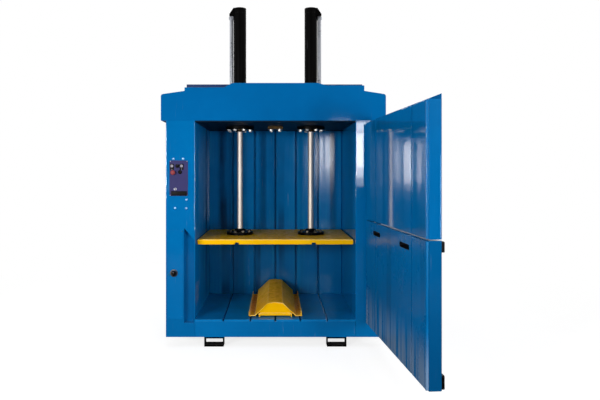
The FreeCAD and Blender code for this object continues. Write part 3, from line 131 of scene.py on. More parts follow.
class Graph:
    """A node tree with short ways to add nodes and join them."""

    mix_factor, mix_first, mix_second, mix_result = 0, 6, 7, 2
    random_low, random_high, random_result = 2, 3, 1

    def __init__(self, tree: bpy.types.NodeTree) -> None:
        """Keep the tree whose nodes are added."""
        self.tree = tree

    def feed(self, socket: bpy.types.NodeSocket, value: object) -> None:
        """Join an input to another socket, or give it a plain value.

        Args:
            socket: the input.
            value: the socket or the value that it gets.
        """
        if isinstance(value, bpy.types.NodeSocket):
            self.tree.links.new(value, socket)
        else:
            socket.default_value = value

    def add(self, kind: str, inputs: dict | None = None, **settings: object) -> bpy.types.Node:
        """Add a node.

        Args:
            kind: Blender's name of the node type.
            inputs: values or sockets by input name or index.
            settings: properties of the node.

        Returns:
            The new node.
        """
        node = self.tree.nodes.new(kind)
        for name, value in settings.items():
            setattr(node, name, value)
        for name, value in (inputs or {}).items():
            self.feed(node.inputs[name], value)
        return node

    def maths(self, operation: str, *values: object) -> bpy.types.NodeSocket:
        """Add a Math node on the given values and return its result."""
        return self.add("ShaderNodeMath", dict(enumerate(values)), operation=operation).outputs[0]

    def product(self, first: object, *others: object) -> bpy.types.NodeSocket:
        """Multiply values in their order.

        Args:
            first: the first value or socket.
            others: the ones it is multiplied by.

        Returns:
            The product.
        """
        for other in others:
            first = self.maths("MULTIPLY", first, other)
        return first

    def blend(self, factor: object, first: object, second: object) -> bpy.types.NodeSocket:
        """Mix two colours by a factor and return the result."""
        inputs = {self.mix_factor: factor, self.mix_first: first, self.mix_second: second}
        return self.add("ShaderNodeMix", inputs, data_type="RGBA").outputs[self.mix_result]

    def ramp(self, value: object, low: float, high: float,
             to: Pair = (0.0, 1.0)) -> bpy.types.NodeSocket:
        """Map a value smoothly to another range, clamped.

        Args:
            value: the value or socket.
            low: where the new range starts.
            high: where it ends.
            to: the new range's start and end.

        Returns:
            The mapped value.
        """
        inputs = {"Value": value, "From Min": low, "From Max": high,
                  "To Min": to[0], "To Max": to[1]}
        node = self.add("ShaderNodeMapRange", inputs, interpolation_type="SMOOTHSTEP")
        return node.outputs[0]

    def stretched(self, vector: object, scale: Point) -> bpy.types.NodeSocket:
        """Scale a vector by a different factor on each axis."""
        inputs = {0: vector, 1: scale}
        return self.add("ShaderNodeVectorMath", inputs, operation="MULTIPLY").outputs[0]

    def dot(self, first: object, second: object) -> bpy.types.NodeSocket:
        """The dot product of two vectors."""
        inputs = {0: first, 1: second}
        return self.add("ShaderNodeVectorMath", inputs, operation="DOT_PRODUCT").outputs["Value"]

    def upward(self, vector: object) -> bpy.types.NodeSocket:
        """The Z of a vector."""
        return self.add("ShaderNodeSeparateXYZ", {0: vector}).outputs["Z"]

    def noise(self, vector: object, scale: object, detail: float = 2.0,
              roughness: float = 0.5) -> bpy.types.NodeSocket:
        """A noise value at a position."""
        inputs = {"Vector": vector, "Scale": scale, "Detail": detail, "Roughness": roughness}
        return self.add("ShaderNodeTexNoise", inputs).outputs[0]

    def random(self, low: float, high: float, seed: int) -> bpy.types.NodeSocket:
        """A random value for each copy, the same in every run.

        Args:
            low: the lowest value.
            high: the highest value.
            seed: the fixed seed.

        Returns:
            The value.
        """
        inputs = {self.random_low: low, self.random_high: high, "Seed": seed}
        node = self.add("FunctionNodeRandomValue", inputs, data_type="FLOAT")
        return node.outputs[self.random_result]


class Group:
    """A node group with named inputs and one output, made once at its first use."""

    name = ""
    kind = "ShaderNodeTree"
    output = ("Value", Kind.FLOAT)

    @classmethod
    def inputs(cls) -> dict[str, tuple[Kind, float | None]]:
        """Each input's kind and its value where nothing is given, by label."""
        raise NotImplementedError

    @classmethod
    def body(cls, graph: Graph, given: bpy.types.NodeOutputs) -> bpy.types.NodeSocket:
        """Add the group's own nodes on its given inputs and return its result."""
        raise NotImplementedError

    @classmethod
    def tree(cls) -> bpy.types.NodeTree:
        """The group's tree.

        Returns:
            The tree, which is built when it isn't there yet.
        """
        tree = bpy.data.node_groups.get(cls.name)
        if tree is None:
            tree = bpy.data.node_groups.new(cls.name, cls.kind)
            for title, (kind, value) in cls.inputs().items():
                socket = tree.interface.new_socket(title, in_out="INPUT", socket_type=kind.value)
                if value is not None:
                    socket.default_value = value
            title, kind = cls.output
            tree.interface.new_socket(title, in_out="OUTPUT", socket_type=kind.value)
            graph = Graph(tree)
            source = graph.add("NodeGroupInput")
            result = graph.add("NodeGroupOutput")
            graph.feed(result.inputs[0], cls.body(graph, source.outputs))
        return tree


class EffectGroup(Group):
    """A shader node group that is placed in every material that needs the effect."""

    sockets: dict[str, float] = {}

    @classmethod
    def inputs(cls) -> dict[str, tuple[Kind, float | None]]:
        """The place on the object, and the effect's own values."""
        return {"Vector": (Kind.VECTOR, None),
                **{title: (Kind.FLOAT, value) for title, value in cls.sockets.items()}}

    @classmethod
    def place(cls, graph: Graph, **values: object) -> bpy.types.NodeSocket:
        """Put the effect in a material and return its value."""
        inputs = {label(name): value for name, value in values.items()}
        return graph.add("ShaderNodeGroup", inputs, node_tree=cls.tree()).outputs[0]


class SheetRipple(EffectGroup):
    """Height of rolled sheet under paint: slow upright waves and fine orange peel."""

    name = "sheet ripple"
    sockets = {"Waves": 3.0, "Wave Height": 0.001, "Peel": 260.0, "Peel Height": 0.00002,
               "Stretch": 0.16}

    @classmethod
    def body(cls, graph: Graph, given: bpy.types.NodeOutputs) -> bpy.types.NodeSocket:
        """Add slow upright waves and fine orange peel.

        Args:
            graph: the group's tree.
            given: its inputs.

        Returns:
            The height.
        """
        spread = graph.add("ShaderNodeCombineXYZ", {"X": 1.0, "Y": 1.0, "Z": given["Stretch"]})
        upright = graph.stretched(given["Vector"], spread.outputs[0])
        slow = graph.noise(upright, given["Waves"], detail=1.0, roughness=0.4)
        fine = graph.noise(given["Vector"], given["Peel"], detail=1.0)
        return graph.maths("ADD", graph.product(slow, given["Wave Height"]),
                           graph.product(fine, given["Peel Height"]))


class SettledDust(EffectGroup):
    """Dust that lies on surfaces that face upwards, in uneven patches."""

    name = "settled dust"
    sockets = {"Scale": 9.0, "Amount": 0.3}
    slope = (0.35, 0.95)
    patches = (0.35, 0.75)

    @classmethod
    def body(cls, graph: Graph, given: bpy.types.NodeOutputs) -> bpy.types.NodeSocket:
        """Join the upward slope with uneven patches.

        Args:
            graph: the group's tree.
            given: its inputs.

        Returns:
            How thickly the dust lies.
        """
        normal = graph.add("ShaderNodeNewGeometry").outputs["Normal"]
        lying = graph.ramp(graph.upward(normal), *cls.slope)
        uneven = graph.noise(given["Vector"], given["Scale"], detail=5.0, roughness=0.65)
        return graph.product(lying, graph.ramp(uneven, *cls.patches), given["Amount"])


class Scratches(EffectGroup):
    """Thin scratches in two directions, broken up by patches."""

    name = "scratches"
    sockets = {"Fineness": 60.0, "Amount": 0.5}
    directions = ((0.5, (1.0, 0.03, 0.05)), (-0.9, (0.04, 1.0, 0.05)))
    cut = (0.66, 0.74)
    patch_scale = 4.0
    patches = (0.4, 0.65)

    @classmethod
    def body(cls, graph: Graph, given: bpy.types.NodeOutputs) -> bpy.types.NodeSocket:
        """Add two sets of stretched noise, each cut to thin lines.

        Args:
            graph: the group's tree.
            given: its inputs.

        Returns:
            How strongly the surface is scratched.
        """
        lines = []
        for angle, spread in cls.directions:
            inputs = {"Vector": given["Vector"], "Angle": angle}
            along = graph.add("ShaderNodeVectorRotate", inputs).outputs[0]
            thin = graph.noise(graph.stretched(along, spread), given["Fineness"], detail=3.0,
                               roughness=0.6)
            lines.append(graph.ramp(thin, *cls.cut))
        uneven = graph.ramp(graph.noise(given["Vector"], cls.patch_scale), *cls.patches)
        return graph.product(graph.maths("MAXIMUM", *lines), uneven, given["Amount"])


class Streaks(EffectGroup):
    """Fine upright streaks broken up by patches: partly rubbing marks, partly painted reflections
    and painted shade bands.
    """

    name = "upright streaks"
    sockets = {"Fineness": 30.0, "Amount": 0.5}
    stretch = (1.0, 1.0, 0.025)
    cut = (0.50, 0.68)
    patch_scale = 2.6
    patches = (0.30, 0.62)

    @classmethod
    def body(cls, graph: Graph, given: bpy.types.NodeOutputs) -> bpy.types.NodeSocket:
        """Cut stretched noise to streaks and fade them by broad patches.

        Args:
            graph: the group's tree.
            given: its inputs.

        Returns:
            How strongly the surface is streaked.
        """
        upright = graph.stretched(given["Vector"], cls.stretch)
        lines = graph.ramp(graph.noise(upright, given["Fineness"], roughness=0.55), *cls.cut)
        broad = graph.noise(given["Vector"], cls.patch_scale, detail=1.0)
        return graph.product(lines, graph.ramp(broad, *cls.patches), given["Amount"])


class Mottle(EffectGroup):
    """Soft light and dark patches, from 0 to 1, at two sizes."""

    name = "mottle"
    sockets = {"Scale": 1.5}
    finer = 9.0
    shares = (0.7, 0.3)
    cut = (0.3, 0.7)

    @classmethod
    def body(cls, graph: Graph, given: bpy.types.NodeOutputs) -> bpy.types.NodeSocket:
        """Add a broad and a fine noise.

        Args:
            graph: the group's tree.
            given: its inputs.

        Returns:
            Where between dark and light the surface is.
        """
        broad = graph.noise(given["Vector"], given["Scale"], detail=3.0, roughness=0.55)
        fine = graph.noise(given["Vector"], graph.product(given["Scale"], cls.finer), detail=4.0,
                           roughness=0.6)
        joined = graph.maths("ADD", *(graph.product(value, share)
                                      for value, share in zip((broad, fine), cls.shares)))
        return graph.ramp(joined, *cls.cut)


# ---- finishes


class Surface:
    """A material in the making, with its graph, its shader and the place on the object."""

    def __init__(self, name: str) -> None:
        """Start the material.

        Args:
            name: the material's name.
        """
        self.material = bpy.data.materials.new(name)
        self.material.use_nodes = True
        self.graph = Graph(self.material.node_tree)
        self.shader = self.material.node_tree.nodes["Principled BSDF"]
        self.place = self.graph.add("ShaderNodeTexCoord").outputs["Object"]

    def put(self, values: dict[str, object]) -> None:
        """Set or join inputs of the shader by label."""
        for title, value in values.items():
            self.graph.feed(self.shader.inputs[title], value)

    def relief(self, height: object, edge: float = 0.0) -> None:
        """Raise the surface, and soften the light on sharp edges.

        Args:
            height: how far it is raised, in metres.
            edge: radius of the softened edges, or 0 for none.
        """
        bump = self.graph.add("ShaderNodeBump", {"Height": height, "Distance": 1.0})
        if edge:
            soft = self.graph.add("ShaderNodeBevel", {"Radius": edge}, samples=4)
            self.graph.feed(bump.inputs["Normal"], soft.outputs[0])
        self.put({"Normal": bump.outputs[0]})


@dataclass(frozen=True)
class Finish:
    """What every finish has: two colours that it wanders between, and its roughness."""

    name: str
    colour: Colour
    shade: Colour
    roughness: float = 0.2
    roughness_spread: float = 0.12
    mottle: float = 6.0

    def begin(self) -> tuple[Surface, bpy.types.NodeSocket, bpy.types.NodeSocket]:
        """Start the finish's material.

        Returns:
            The surface, its patches from 0 to 1, and its colour.
        """
        surface = Surface(self.name)
        patches = Mottle.place(surface.graph, vector=surface.place, scale=self.mottle)
        colour = surface.graph.blend(patches, with_alpha(self.shade), with_alpha(self.colour))
        return surface, patches, colour

    def roughen(self, surface: Surface, patches: object, more: object) -> None:
        """Set the roughness, which differs between patches.

        Args:
            surface: the material in the making.
            patches: its patches from 0 to 1.
            more: roughness that is added where the surface is marked.
        """
        maths = surface.graph.maths
        rough = maths("MULTIPLY_ADD", patches, self.roughness_spread, self.roughness)
        surface.put({"Roughness": maths("ADD", rough, more)})


@dataclass(frozen=True)
class Paint(Finish):
    """Sprayed or powder-coated sheet metal."""

    roughness: float = 0.07
    roughness_spread: float = 0.06
    mottle: float = 1.3
    soil_roughness: float = 0.45
    coat: float = 0.3
    coat_roughness: float = 0.03
    shine: float = 0.5
    tint: Colour = (1.0, 1.0, 1.0)
    edge: float = 0.0015
    waves: float = 3.2
    wave_height: float = 0.0008
    wave_stretch: float = 0.16
    peel_height: float = 0.000012
    lean: Point = (0.0, 0.0, 0.0)
    dust: float = 0.10
    dust_scale: float = 7.0
    dust_colour: Colour = (0.36, 0.35, 0.33)
    scratches: float = 0.25
    scratch_fineness: float = 70.0
    scratch_colour: Colour = (0.30, 0.33, 0.38)
    # Upright streaks: pale ones are painted reflections, dark ones painted shade bands, and they
    # stand for rubbing marks too.
    streaks: float = 0.0
    pale_share: float = 0.8
    pale_fineness: float = 34.0
    pale_streak: Colour = (0.004, 0.22, 0.48)
    dark_fineness: float = 9.0
    dark_streak: Colour = (0.0, 0.035, 0.11)
    # Painted shade: the colour is darkened towards the bottom.
    grime: float = 0.0
    grime_levels: Pair = (0.20, 1.15)
    grime_colour: Colour = (0.0, 0.03, 0.09)
    # Painted reflection of the pale floor: pale upright streaks near the bottom, set by foot and
    # the fields after it.
    foot: float = 0.0
    foot_levels: Pair = (0.24, 0.52)
    foot_stretch: Point = (1.0, 1.0, 0.03)
    foot_fineness: float = 26.0
    foot_cut: Pair = (0.36, 0.54)
    foot_colour: Colour = (0.15, 0.24, 0.38)
    # Lightened upper edges: partly rubbed paint, partly a painted highlight.
    wear: float = 0.35
    wear_width: float = 0.003
    wear_turn: Pair = (0.86, 0.995)
    wear_slope: Pair = (0.02, 0.20)
    wear_scale: float = 24.0
    wear_patches: Pair = (0.25, 0.55)
    wear_colour: Colour = (0.10, 0.36, 0.62)

    def material(self) -> bpy.types.Material:
        """The paint's material.

        Returns:
            The material.
        """
        surface, patches, colour = self.begin()
        graph, place = surface.graph, surface.place
        dust = SettledDust.place(graph, vector=place, scale=self.dust_scale, amount=self.dust)
        marks = Scratches.place(graph, vector=place, fineness=self.scratch_fineness,
                                amount=self.scratches)
        for mask, tone in self.layers(graph, place, dust, marks):
            colour = graph.blend(mask, colour, with_alpha(tone))
        soiled = graph.product(graph.maths("ADD", dust, marks), self.soil_roughness)
        self.roughen(surface, patches, soiled)
        height = SheetRipple.place(
            graph, vector=place, waves=self.waves, wave_height=self.wave_height,
            peel_height=self.peel_height, stretch=self.wave_stretch)
        if any(self.lean):
            height = graph.maths("ADD", graph.dot(place, self.lean), height)
        surface.relief(height, self.edge)
        surface.put({"Base Color": colour, "Specular IOR Level": self.shine,
                     "Specular Tint": with_alpha(self.tint), "Coat Weight": self.coat,
                     "Coat Roughness": self.coat_roughness})
        return surface.material

    def layers(self, graph: Graph, place: bpy.types.NodeSocket, dust: bpy.types.NodeSocket,
               marks: bpy.types.NodeSocket) -> list[tuple[bpy.types.NodeSocket, Colour]]:
        """What lies on the paint, from the lowest layer up: scratches, upright streaks, painted
        shade towards the bottom, a painted floor reflection, dust and lightened upper edges.

        Args:
            graph: the material's tree.
            place: object coordinates.
            dust: how thickly dust lies.
            marks: how strongly the paint is scratched.

        Returns:
            A mask and a colour for each layer.
        """
        found = [(marks, self.scratch_colour)]
        # Pale streaks are painted reflections, dark streaks painted shade bands, partly rubbing
        # marks.
        if self.streaks:
            pale = Streaks.place(graph, vector=place, fineness=self.pale_fineness,
                                 amount=self.streaks * self.pale_share)
            dark = Streaks.place(graph, vector=place, fineness=self.dark_fineness,
                                 amount=self.streaks)
            found += [(pale, self.pale_streak), (dark, self.dark_streak)]
        # Painted shade, darker towards the bottom.
        if self.grime:
            low = graph.ramp(graph.upward(place), *self.grime_levels, to=(self.grime, 0.0))
            found.append((low, self.grime_colour))
        # Painted reflection of the pale floor: pale upright streaks near the bottom.
        if self.foot:
            upright = graph.stretched(place, self.foot_stretch)
            lines = graph.ramp(graph.noise(upright, self.foot_fineness, detail=3.0, roughness=0.6),
                               *self.foot_cut)
            low = graph.ramp(graph.upward(place), *self.foot_levels, to=(self.foot, 0.0))
            found.append((graph.product(lines, low), self.foot_colour))
        found.append((dust, self.dust_colour))
        # Upper edges lightened: rubbed paint and a painted highlight.
        if self.wear:
            found.append((self.worn_edges(graph, place), self.wear_colour))
        return found

    def worn_edges(self, graph: Graph, place: bpy.types.NodeSocket) -> bpy.types.NodeSocket:
        """How far the paint is lightened along sharp upper edges, uneven along them: partly rubbed
        paint, partly a painted highlight.

        Args:
            graph: the material's tree.
            place: object coordinates.

        Returns:
            A mask from 0 on flat sheet to the finish's amount on an edge.
        """
        rounded = graph.add("ShaderNodeBevel", {"Radius": self.wear_width}, samples=4).outputs[0]
        flat = graph.add("ShaderNodeNewGeometry").outputs["Normal"]
        near = graph.ramp(graph.dot(rounded, flat), *self.wear_turn, to=(1.0, 0.0))
        upper = graph.ramp(graph.upward(rounded), *self.wear_slope)
        uneven = graph.ramp(graph.noise(place, self.wear_scale, detail=3.0), *self.wear_patches)
        return graph.product(near, upper, graph.product(uneven, self.wear))


@dataclass(frozen=True)
class Metal(Finish):
    """Bare, plated or machined metal with turning or drawing marks along one axis."""

    grain: Point = (1.0, 1.0, 0.02)
    grain_fineness: float = 260.0
    grain_height: float = 0.000015
    grain_roughness: float = 0.06
    dust: float = 0.05
    dust_scale: float = 20.0
    dust_colour: Colour = (0.30, 0.28, 0.25)
    edge: float = 0.0006

    def material(self) -> bpy.types.Material:
        """The metal's material.

        Returns:
            The material.
        """
        surface, patches, colour = self.begin()
        graph, place = surface.graph, surface.place
        dust = SettledDust.place(graph, vector=place, scale=self.dust_scale, amount=self.dust)
        lines = graph.noise(graph.stretched(place, self.grain), self.grain_fineness, detail=3.0,
                            roughness=0.6)
        surface.put({"Base Color": graph.blend(dust, colour, with_alpha(self.dust_colour)),
                     "Metallic": graph.maths("SUBTRACT", 1.0, dust)})
        self.roughen(surface, patches, graph.product(lines, self.grain_roughness))
        surface.relief(graph.product(lines, self.grain_height), self.edge)
        return surface.material


@dataclass(frozen=True)
class Plastic(Finish):
    """Moulded plastic with fine spark-eroded grain and rubbed patches."""

    roughness: float = 0.28
    mottle: float = 30.0
    shine: float = 0.5
    scratches: float = 0.15
    scratch_fineness: float = 500.0
    scratch_grey: float = 0.4
    grain_fineness: float = 1800.0
    grain_height: float = 0.00002

    def material(self) -> bpy.types.Material:
        """The plastic's material.

        Returns:
            The material.
        """
        surface, patches, colour = self.begin()
        graph, place = surface.graph, surface.place
        marks = Scratches.place(graph, vector=place, fineness=self.scratch_fineness,
                                amount=self.scratches)
        surface.put({"Base Color": graph.blend(marks, colour, grey(self.scratch_grey)),
                     "Specular IOR Level": self.shine})
        self.roughen(surface, patches, marks)
        surface.relief(graph.product(graph.noise(place, self.grain_fineness), self.grain_height))
        return surface.material


FINISHES = {
    Slot.BLUE: Paint("glossy blue paint", srgb(0, 112, 178), srgb(0, 104, 168)),
    # Painted shade: a darker copy of the blue paint, standing for shade on top of the hood.
    Slot.NAVY: Paint("dark blue paint", srgb(2, 50, 106), srgb(0, 40, 92), roughness=0.3,
                     dust=0.05),
    # On the platen the wide pale edge colour is a painted highlight along the front top edge, and
    # the brown-gold dust on its top is partly dust, partly painted shade.
    Slot.YELLOW: Paint(
        "traffic yellow paint", srgb(255, 196, 0), srgb(250, 184, 0), roughness=0.22,
        roughness_spread=0.20, coat=0.0, shine=0.06, wave_height=0.0010, dust=0.60,
        dust_scale=24.0, dust_colour=(0.42, 0.19, 0.010), scratches=1.0,
        scratch_colour=(0.08, 0.045, 0.006), wear=1.0, wear_width=0.014,
        wear_colour=(1.0, 0.80, 0.36)),
    Slot.BLACK: Paint(
        "black machine paint", srgb(7, 6, 6), srgb(3, 3, 3), roughness=0.34, coat=0.0, shine=0.04,
        wave_height=0.0003, dust=0.06, scratches=0.3, scratch_colour=(0.12, 0.12, 0.13),
        wear_colour=(0.10, 0.10, 0.11)),
    Slot.CHROME: Metal(
        "hard chrome", srgb(236, 224, 212), srgb(224, 212, 202), roughness=0.50,
        roughness_spread=0.04, grain=(1.0, 1.0, 25.0), grain_height=0.0, dust=0.0, edge=0.0),
    Slot.ZINC: Metal("bright zinc", srgb(198, 201, 208), srgb(176, 180, 188), roughness=0.22),
    Slot.STEEL: Metal("machined steel", srgb(246, 242, 234), srgb(226, 222, 214), roughness=0.42),
    Slot.BRASS: Metal("dark bronze", srgb(76, 60, 38), srgb(34, 26, 18), roughness=0.26),
    Slot.PANEL_GREY: Paint(
        "violet grey panel", srgb(56, 54, 104), srgb(46, 46, 94), roughness=0.40, coat=0.0,
        shine=0.1, wave_height=0.0, dust=0.02, scratches=0.1, edge=0.0008, wear=0.0),
    Slot.MOTOR_GREY: Paint(
        "cast grey enamel", srgb(120, 124, 130), srgb(98, 102, 108), roughness=0.42, coat=0.0,
        wave_height=0.0003, peel_height=0.00006, dust=0.45, wear_colour=(0.30, 0.31, 0.33)),
    Slot.BLACK_PLASTIC: Plastic("black plastic", srgb(12, 12, 13), srgb(8, 8, 9), roughness=0.46,
                                shine=0.12),
    Slot.WHITE_PLASTIC: Plastic("white plastic", srgb(154, 150, 164), srgb(138, 134, 150),
                                roughness=0.4),
    Slot.RED_PLASTIC: Plastic("red plastic", srgb(140, 30, 40), srgb(116, 22, 32),
                              roughness=0.42),
}

# A tint of the reflections that keeps red out of them.
COOL = (0.20, 0.66, 1.0)

BLUED_ZINC = Metal("blued zinc", srgb(176, 214, 250), srgb(150, 192, 236), roughness=0.42)
OILED_STEEL = Metal("oiled steel", srgb(120, 112, 98), srgb(58, 52, 44), roughness=0.36,
                    dust=0.25)
BLUE = FINISHES[Slot.BLUE]
FLAT_SHEET = replace(BLUE, name="blue paint on flat sheet", roughness=0.035,
                     roughness_spread=0.025, wave_height=0.0003, scratches=0.12)
# The chamber walls carry painted reflection and shade streaks and painted shade towards the bottom.
WALL_SHEET = replace(BLUE, name="blue paint on chamber walls", roughness=0.07,
                     roughness_spread=0.10, waves=14.0, coat=0.0, shine=0.46, wave_height=0.0012,
                     wave_stretch=0.04, streaks=0.8, grime=0.38)
OWN_FINISH = {
    # Painted shade: the hood's blue is a darker copy of the same paint.
    "hood": replace(FLAT_SHEET, name="blue paint on the hood", colour=srgb(0, 104, 170),
                    shade=srgb(0, 98, 162)),
    "left_column": replace(FLAT_SHEET, name="blue paint on rolled sheet", lean=(0.0, 0.50, 0.0),
                           edge=0.0006, grime=0.16),
    "right_column": replace(FLAT_SHEET, name="blue paint on bowed sheet", lean=(0.040, 0.0, 0.0),
                            wave_height=0.0001),
    "lock_cover": FLAT_SHEET,
    # Painted shade: a near-black blue under the crosshead, where the ceiling lies in shadow.
    "crosshead": replace(BLUE, name="oily paint under the crosshead", colour=srgb(0, 24, 44),
                         shade=srgb(0, 12, 24), roughness=0.45, coat=0.0, shine=0.08,
                         wave_height=0.0012),
    "back_planks": WALL_SHEET,
    "left_side_wall": replace(WALL_SHEET, name="blue paint on the left wall",
                              lean=(0.0, 0.18, 0.0), grime=0.1),
    "right_side_wall": WALL_SHEET,
    # Painted light: a lighter copy of the blue paint on the chamber floor.
    "floor_planks": replace(BLUE, name="blue paint on the chamber floor",
                            colour=srgb(0, 140, 214), shade=srgb(0, 104, 168), roughness=0.34,
                            roughness_spread=0.14, coat=0.0, shine=0.5, dust=0.0, scratches=0.2,
                            tint=COOL),
    # Painted shade: both door shells are darker copies of the same blue paint, the lower one darker
    # still.
    "upper_door_shell": replace(FLAT_SHEET, name="blue paint on the upper door",
                                colour=srgb(0, 100, 162), shade=srgb(0, 94, 154), tint=COOL),
    # Streaks on the door planks are partly painted reflections.
    "upper_door_liner": replace(BLUE, name="blue paint on door planks", roughness=0.045,
                                roughness_spread=0.03, waves=7.0, wave_height=0.0002,
                                wave_stretch=0.05, streaks=0.25),
    "lower_door_shell": replace(FLAT_SHEET, name="blue paint on the lower door",
                                colour=srgb(0, 88, 144), shade=srgb(0, 82, 136), tint=COOL,
                                grime=0.5),
    # Rubbed paint with painted shade towards the bottom and a painted reflection of the floor at
    # its foot.
    "lower_door_liner": replace(BLUE, name="rubbed blue paint", roughness=0.20,
                                roughness_spread=0.14, waves=18.0, coat=0.0, shine=0.18,
                                wave_height=0.0006, wave_stretch=0.03, scratches=0.1,
                                streaks=0.45, foot=0.95, tint=COOL, grime=0.28),
}


class Palette:
    """Every finish's material, each made once."""

    def __init__(self) -> None:
        """Start with no material made."""
        self.made: dict[str, bpy.types.Material] = {}

    def of(self, finish: Finish) -> bpy.types.Material:
        """The material of a finish.

        Args:
            finish: the finish.

        Returns:
            Its material, which is made at its first use.
        """
        if finish.name not in self.made:
            self.made[finish.name] = finish.material()
        return self.made[finish.name]


PALETTE = Palette()


# ---- meshes


def placed(name: str, data: bpy.types.ID) -> bpy.types.Object:
    """Put an object in the scene.

    Args:
        name: its name.
        data: its mesh, lamp or camera.

    Returns:
        The object.
    """
    thing = bpy.data.objects.new(name, data)
    bpy.context.scene.collection.objects.link(thing)
    return thing


def piece(name: str, mesh: bpy.types.Mesh, body: Body, slot: Slot,
          stands_for: Sequence[str] = (), finish: Finish | None = None) -> None:
    """Make a finished mesh a piece of the object.

    Args:
        name: the piece's name.
        mesh: its mesh, in place.
        body: the body it rides on.
        slot: the record's material slot.
        stands_for: CAD nodes that it replaces.
        finish: its finish, where that isn't the slot's own.
    """
    thing = placed(name, mesh)
    if not mesh.materials:
        mesh.materials.append(PALETTE.of(finish or FINISHES[slot]))
    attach(thing, body.value)
    if stands_for:
        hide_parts(*stands_for)
    LOG.info("%s: %d faces on %s", name, len(mesh.polygons), body.value)


def mesh_from(maker: bmesh.types.BMesh, name: str, smooth_angle: float = 35.0) -> bpy.types.Mesh:
    """Turn a bmesh into a mesh with outward faces.

    Args:
        maker: the bmesh, which is freed.
        name: the mesh's name.
        smooth_angle: edges flatter than this many degrees are shaded smooth.

    Returns:
        The mesh.
    """
    bmesh.ops.remove_doubles(maker, verts=maker.verts, dist=1e-6)
    bmesh.ops.recalc_face_normals(maker, faces=maker.faces)
    limit = math.radians(smooth_angle)
    for face in maker.faces:
        face.smooth = True
    for edge in maker.edges:
        edge.smooth = len(edge.link_faces) == 2 and edge.calc_face_angle(0.0) < limit
    mesh = bpy.data.meshes.new(name)
    maker.to_mesh(mesh)
    maker.free()
    return mesh


def skin(maker: bmesh.types.BMesh, rings: Sequence[Sequence[bmesh.types.BMVert]]) -> None:
    """Join each ring of vertices to the next one by faces.

    Args:
        maker: the bmesh to add to.
        rings: rings of one length, or of one vertex for a point.
    """
    for low, high in zip(rings, rings[1:]):
        for index in range(max(len(low), len(high))):
            after = index + 1
            corners = [low[index % len(low)], low[after % len(low)],
                       high[after % len(high)], high[index % len(high)]]
            maker.faces.new(list(dict.fromkeys(corners)))


def polar(radius: float, angle: float, height: float = 0.0) -> Vector:
    """A spot by its distance from Z, its angle round Z and its height."""
    return Vector((radius * math.cos(angle), radius * math.sin(angle), height))


def turned(maker: bmesh.types.BMesh, profile: Profile, place: Matrix, steps: int = 40,
           closed: bool = False) -> None:
    """Add a turned solid, or a turned ring.

    Args:
        maker: the bmesh to add to.
        profile: radius and height pairs, from the axis at one end to the axis at the other, or
            all round a ring's section.
        place: matrix that puts the turning axis, local Z, in place.
        steps: sides of a full turn.
        closed: whether it is a ring, whose profile closes on itself.
    """
    rings = []
    for radius, height in profile:
        count = steps if radius else 1
        rings.append([maker.verts.new(place @ polar(radius, 2 * math.pi * index / steps, height))
                      for index in range(count)])
    skin(maker, rings + rings[:1] if closed else rings)


def rounded_block(maker: bmesh.types.BMesh, low: Point, high: Point, radius: float) -> None:
    """Add a block with rounded edges.

    Args:
        maker: the bmesh to add to.
        low: its lowest corner.
        high: its highest corner.
        radius: edge radius.
    """
    block = bmesh.new()
    bmesh.ops.create_cube(block, size=1.0)
    for vertex in block.verts:
        vertex.co = Vector(low[axis] if vertex.co[axis] < 0 else high[axis] for axis in range(3))
    bmesh.ops.bevel(block, geom=list(block.edges), offset=radius, segments=3, profile=0.5,
                    affect="EDGES")
    holder = bpy.data.meshes.new("block")
    block.to_mesh(holder)
    block.free()
    maker.from_mesh(holder)
    bpy.data.meshes.remove(holder)


def flat_plate(maker: bmesh.types.BMesh, outline: Profile, thickness: float,
               place: Matrix) -> None:
    """Add a flat plate.

    Args:
        maker: the bmesh to add to.
        outline: its corners in local X and Y.
        thickness: its size along local Z.
        place: matrix that puts it in place.
    """
    low, high = ([maker.verts.new(place @ Vector((x, y, level))) for x, y in outline]
                 for level in (0, thickness))
    maker.faces.new(list(reversed(low)))
    maker.faces.new(high)
    skin(maker, [low, high])


def rounded_outline(width: float, height: float, radius: float, steps: int = 6) -> list[Pair]:
    """Corners of a rounded rectangle about its centre.

    Args:
        width: its size along X.
        height: its size along Y.
        radius: its corner radius.
        steps: sides of each rounded corner.

    Returns:
        The corners, anticlockwise.
    """
    points = []
    for quarter, (side, level) in enumerate(((1, 1), (-1, 1), (-1, -1), (1, -1))):
        for step in range(steps + 1):
            angle = math.pi / 2 * (quarter + step / steps)
            across = side * (width / 2 - radius) + radius * math.cos(angle)
            points.append((across, level * (height / 2 - radius) + radius * math.sin(angle)))
    return points


def facing(spot: Point | Vector, direction: Vector) -> Matrix:
    """A matrix whose local Z points along a direction from a spot."""
    turn = direction.to_track_quat("Z", "Y").to_matrix().to_4x4()
    return Matrix.Translation(Vector(spot)) @ turn


def middle(node: str) -> Vector:
    """The centre of a CAD node's box."""
    low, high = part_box(node)
    return (low + high) / 2


def from_front(node: str, depth: float) -> Matrix:
    """A matrix on a CAD node's middle line at a depth, with local Z to the front."""
    centre = middle(node)
    return facing((centre.x, depth, centre.z), -Y_AXIS)


@dataclass(frozen=True)
class Bar:
    """An upright rounded bar on a control, placed from the control's middle and front."""

    half_width: float
    levels: Pair
    depths: Pair
    radius: float

    def add(self, maker: bmesh.types.BMesh, node: str) -> None:
        """Add the bar.

        Args:
            maker: the bmesh to add to.
            node: the control's CAD node.
        """
        centre, front = middle(node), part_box(node)[0].y
        corners = ((centre.x + side * self.half_width, front + depth, centre.z + level)
                   for side, depth, level in zip((-1, 1), self.depths, self.levels))
        rounded_block(maker, *corners, self.radius)


# ---- what repeats, by geometry nodes


@dataclass(frozen=True)
class HeadSize:
    """Sizes of a screw head and of the washer under it."""

    across_corners: float
    height: float
    washer_radius: float = 0.0
    washer_thickness: float = 0.0


@dataclass(frozen=True)
class BeadSize:
    """Sizes of a weld bead."""

    width: float
    spacing: float


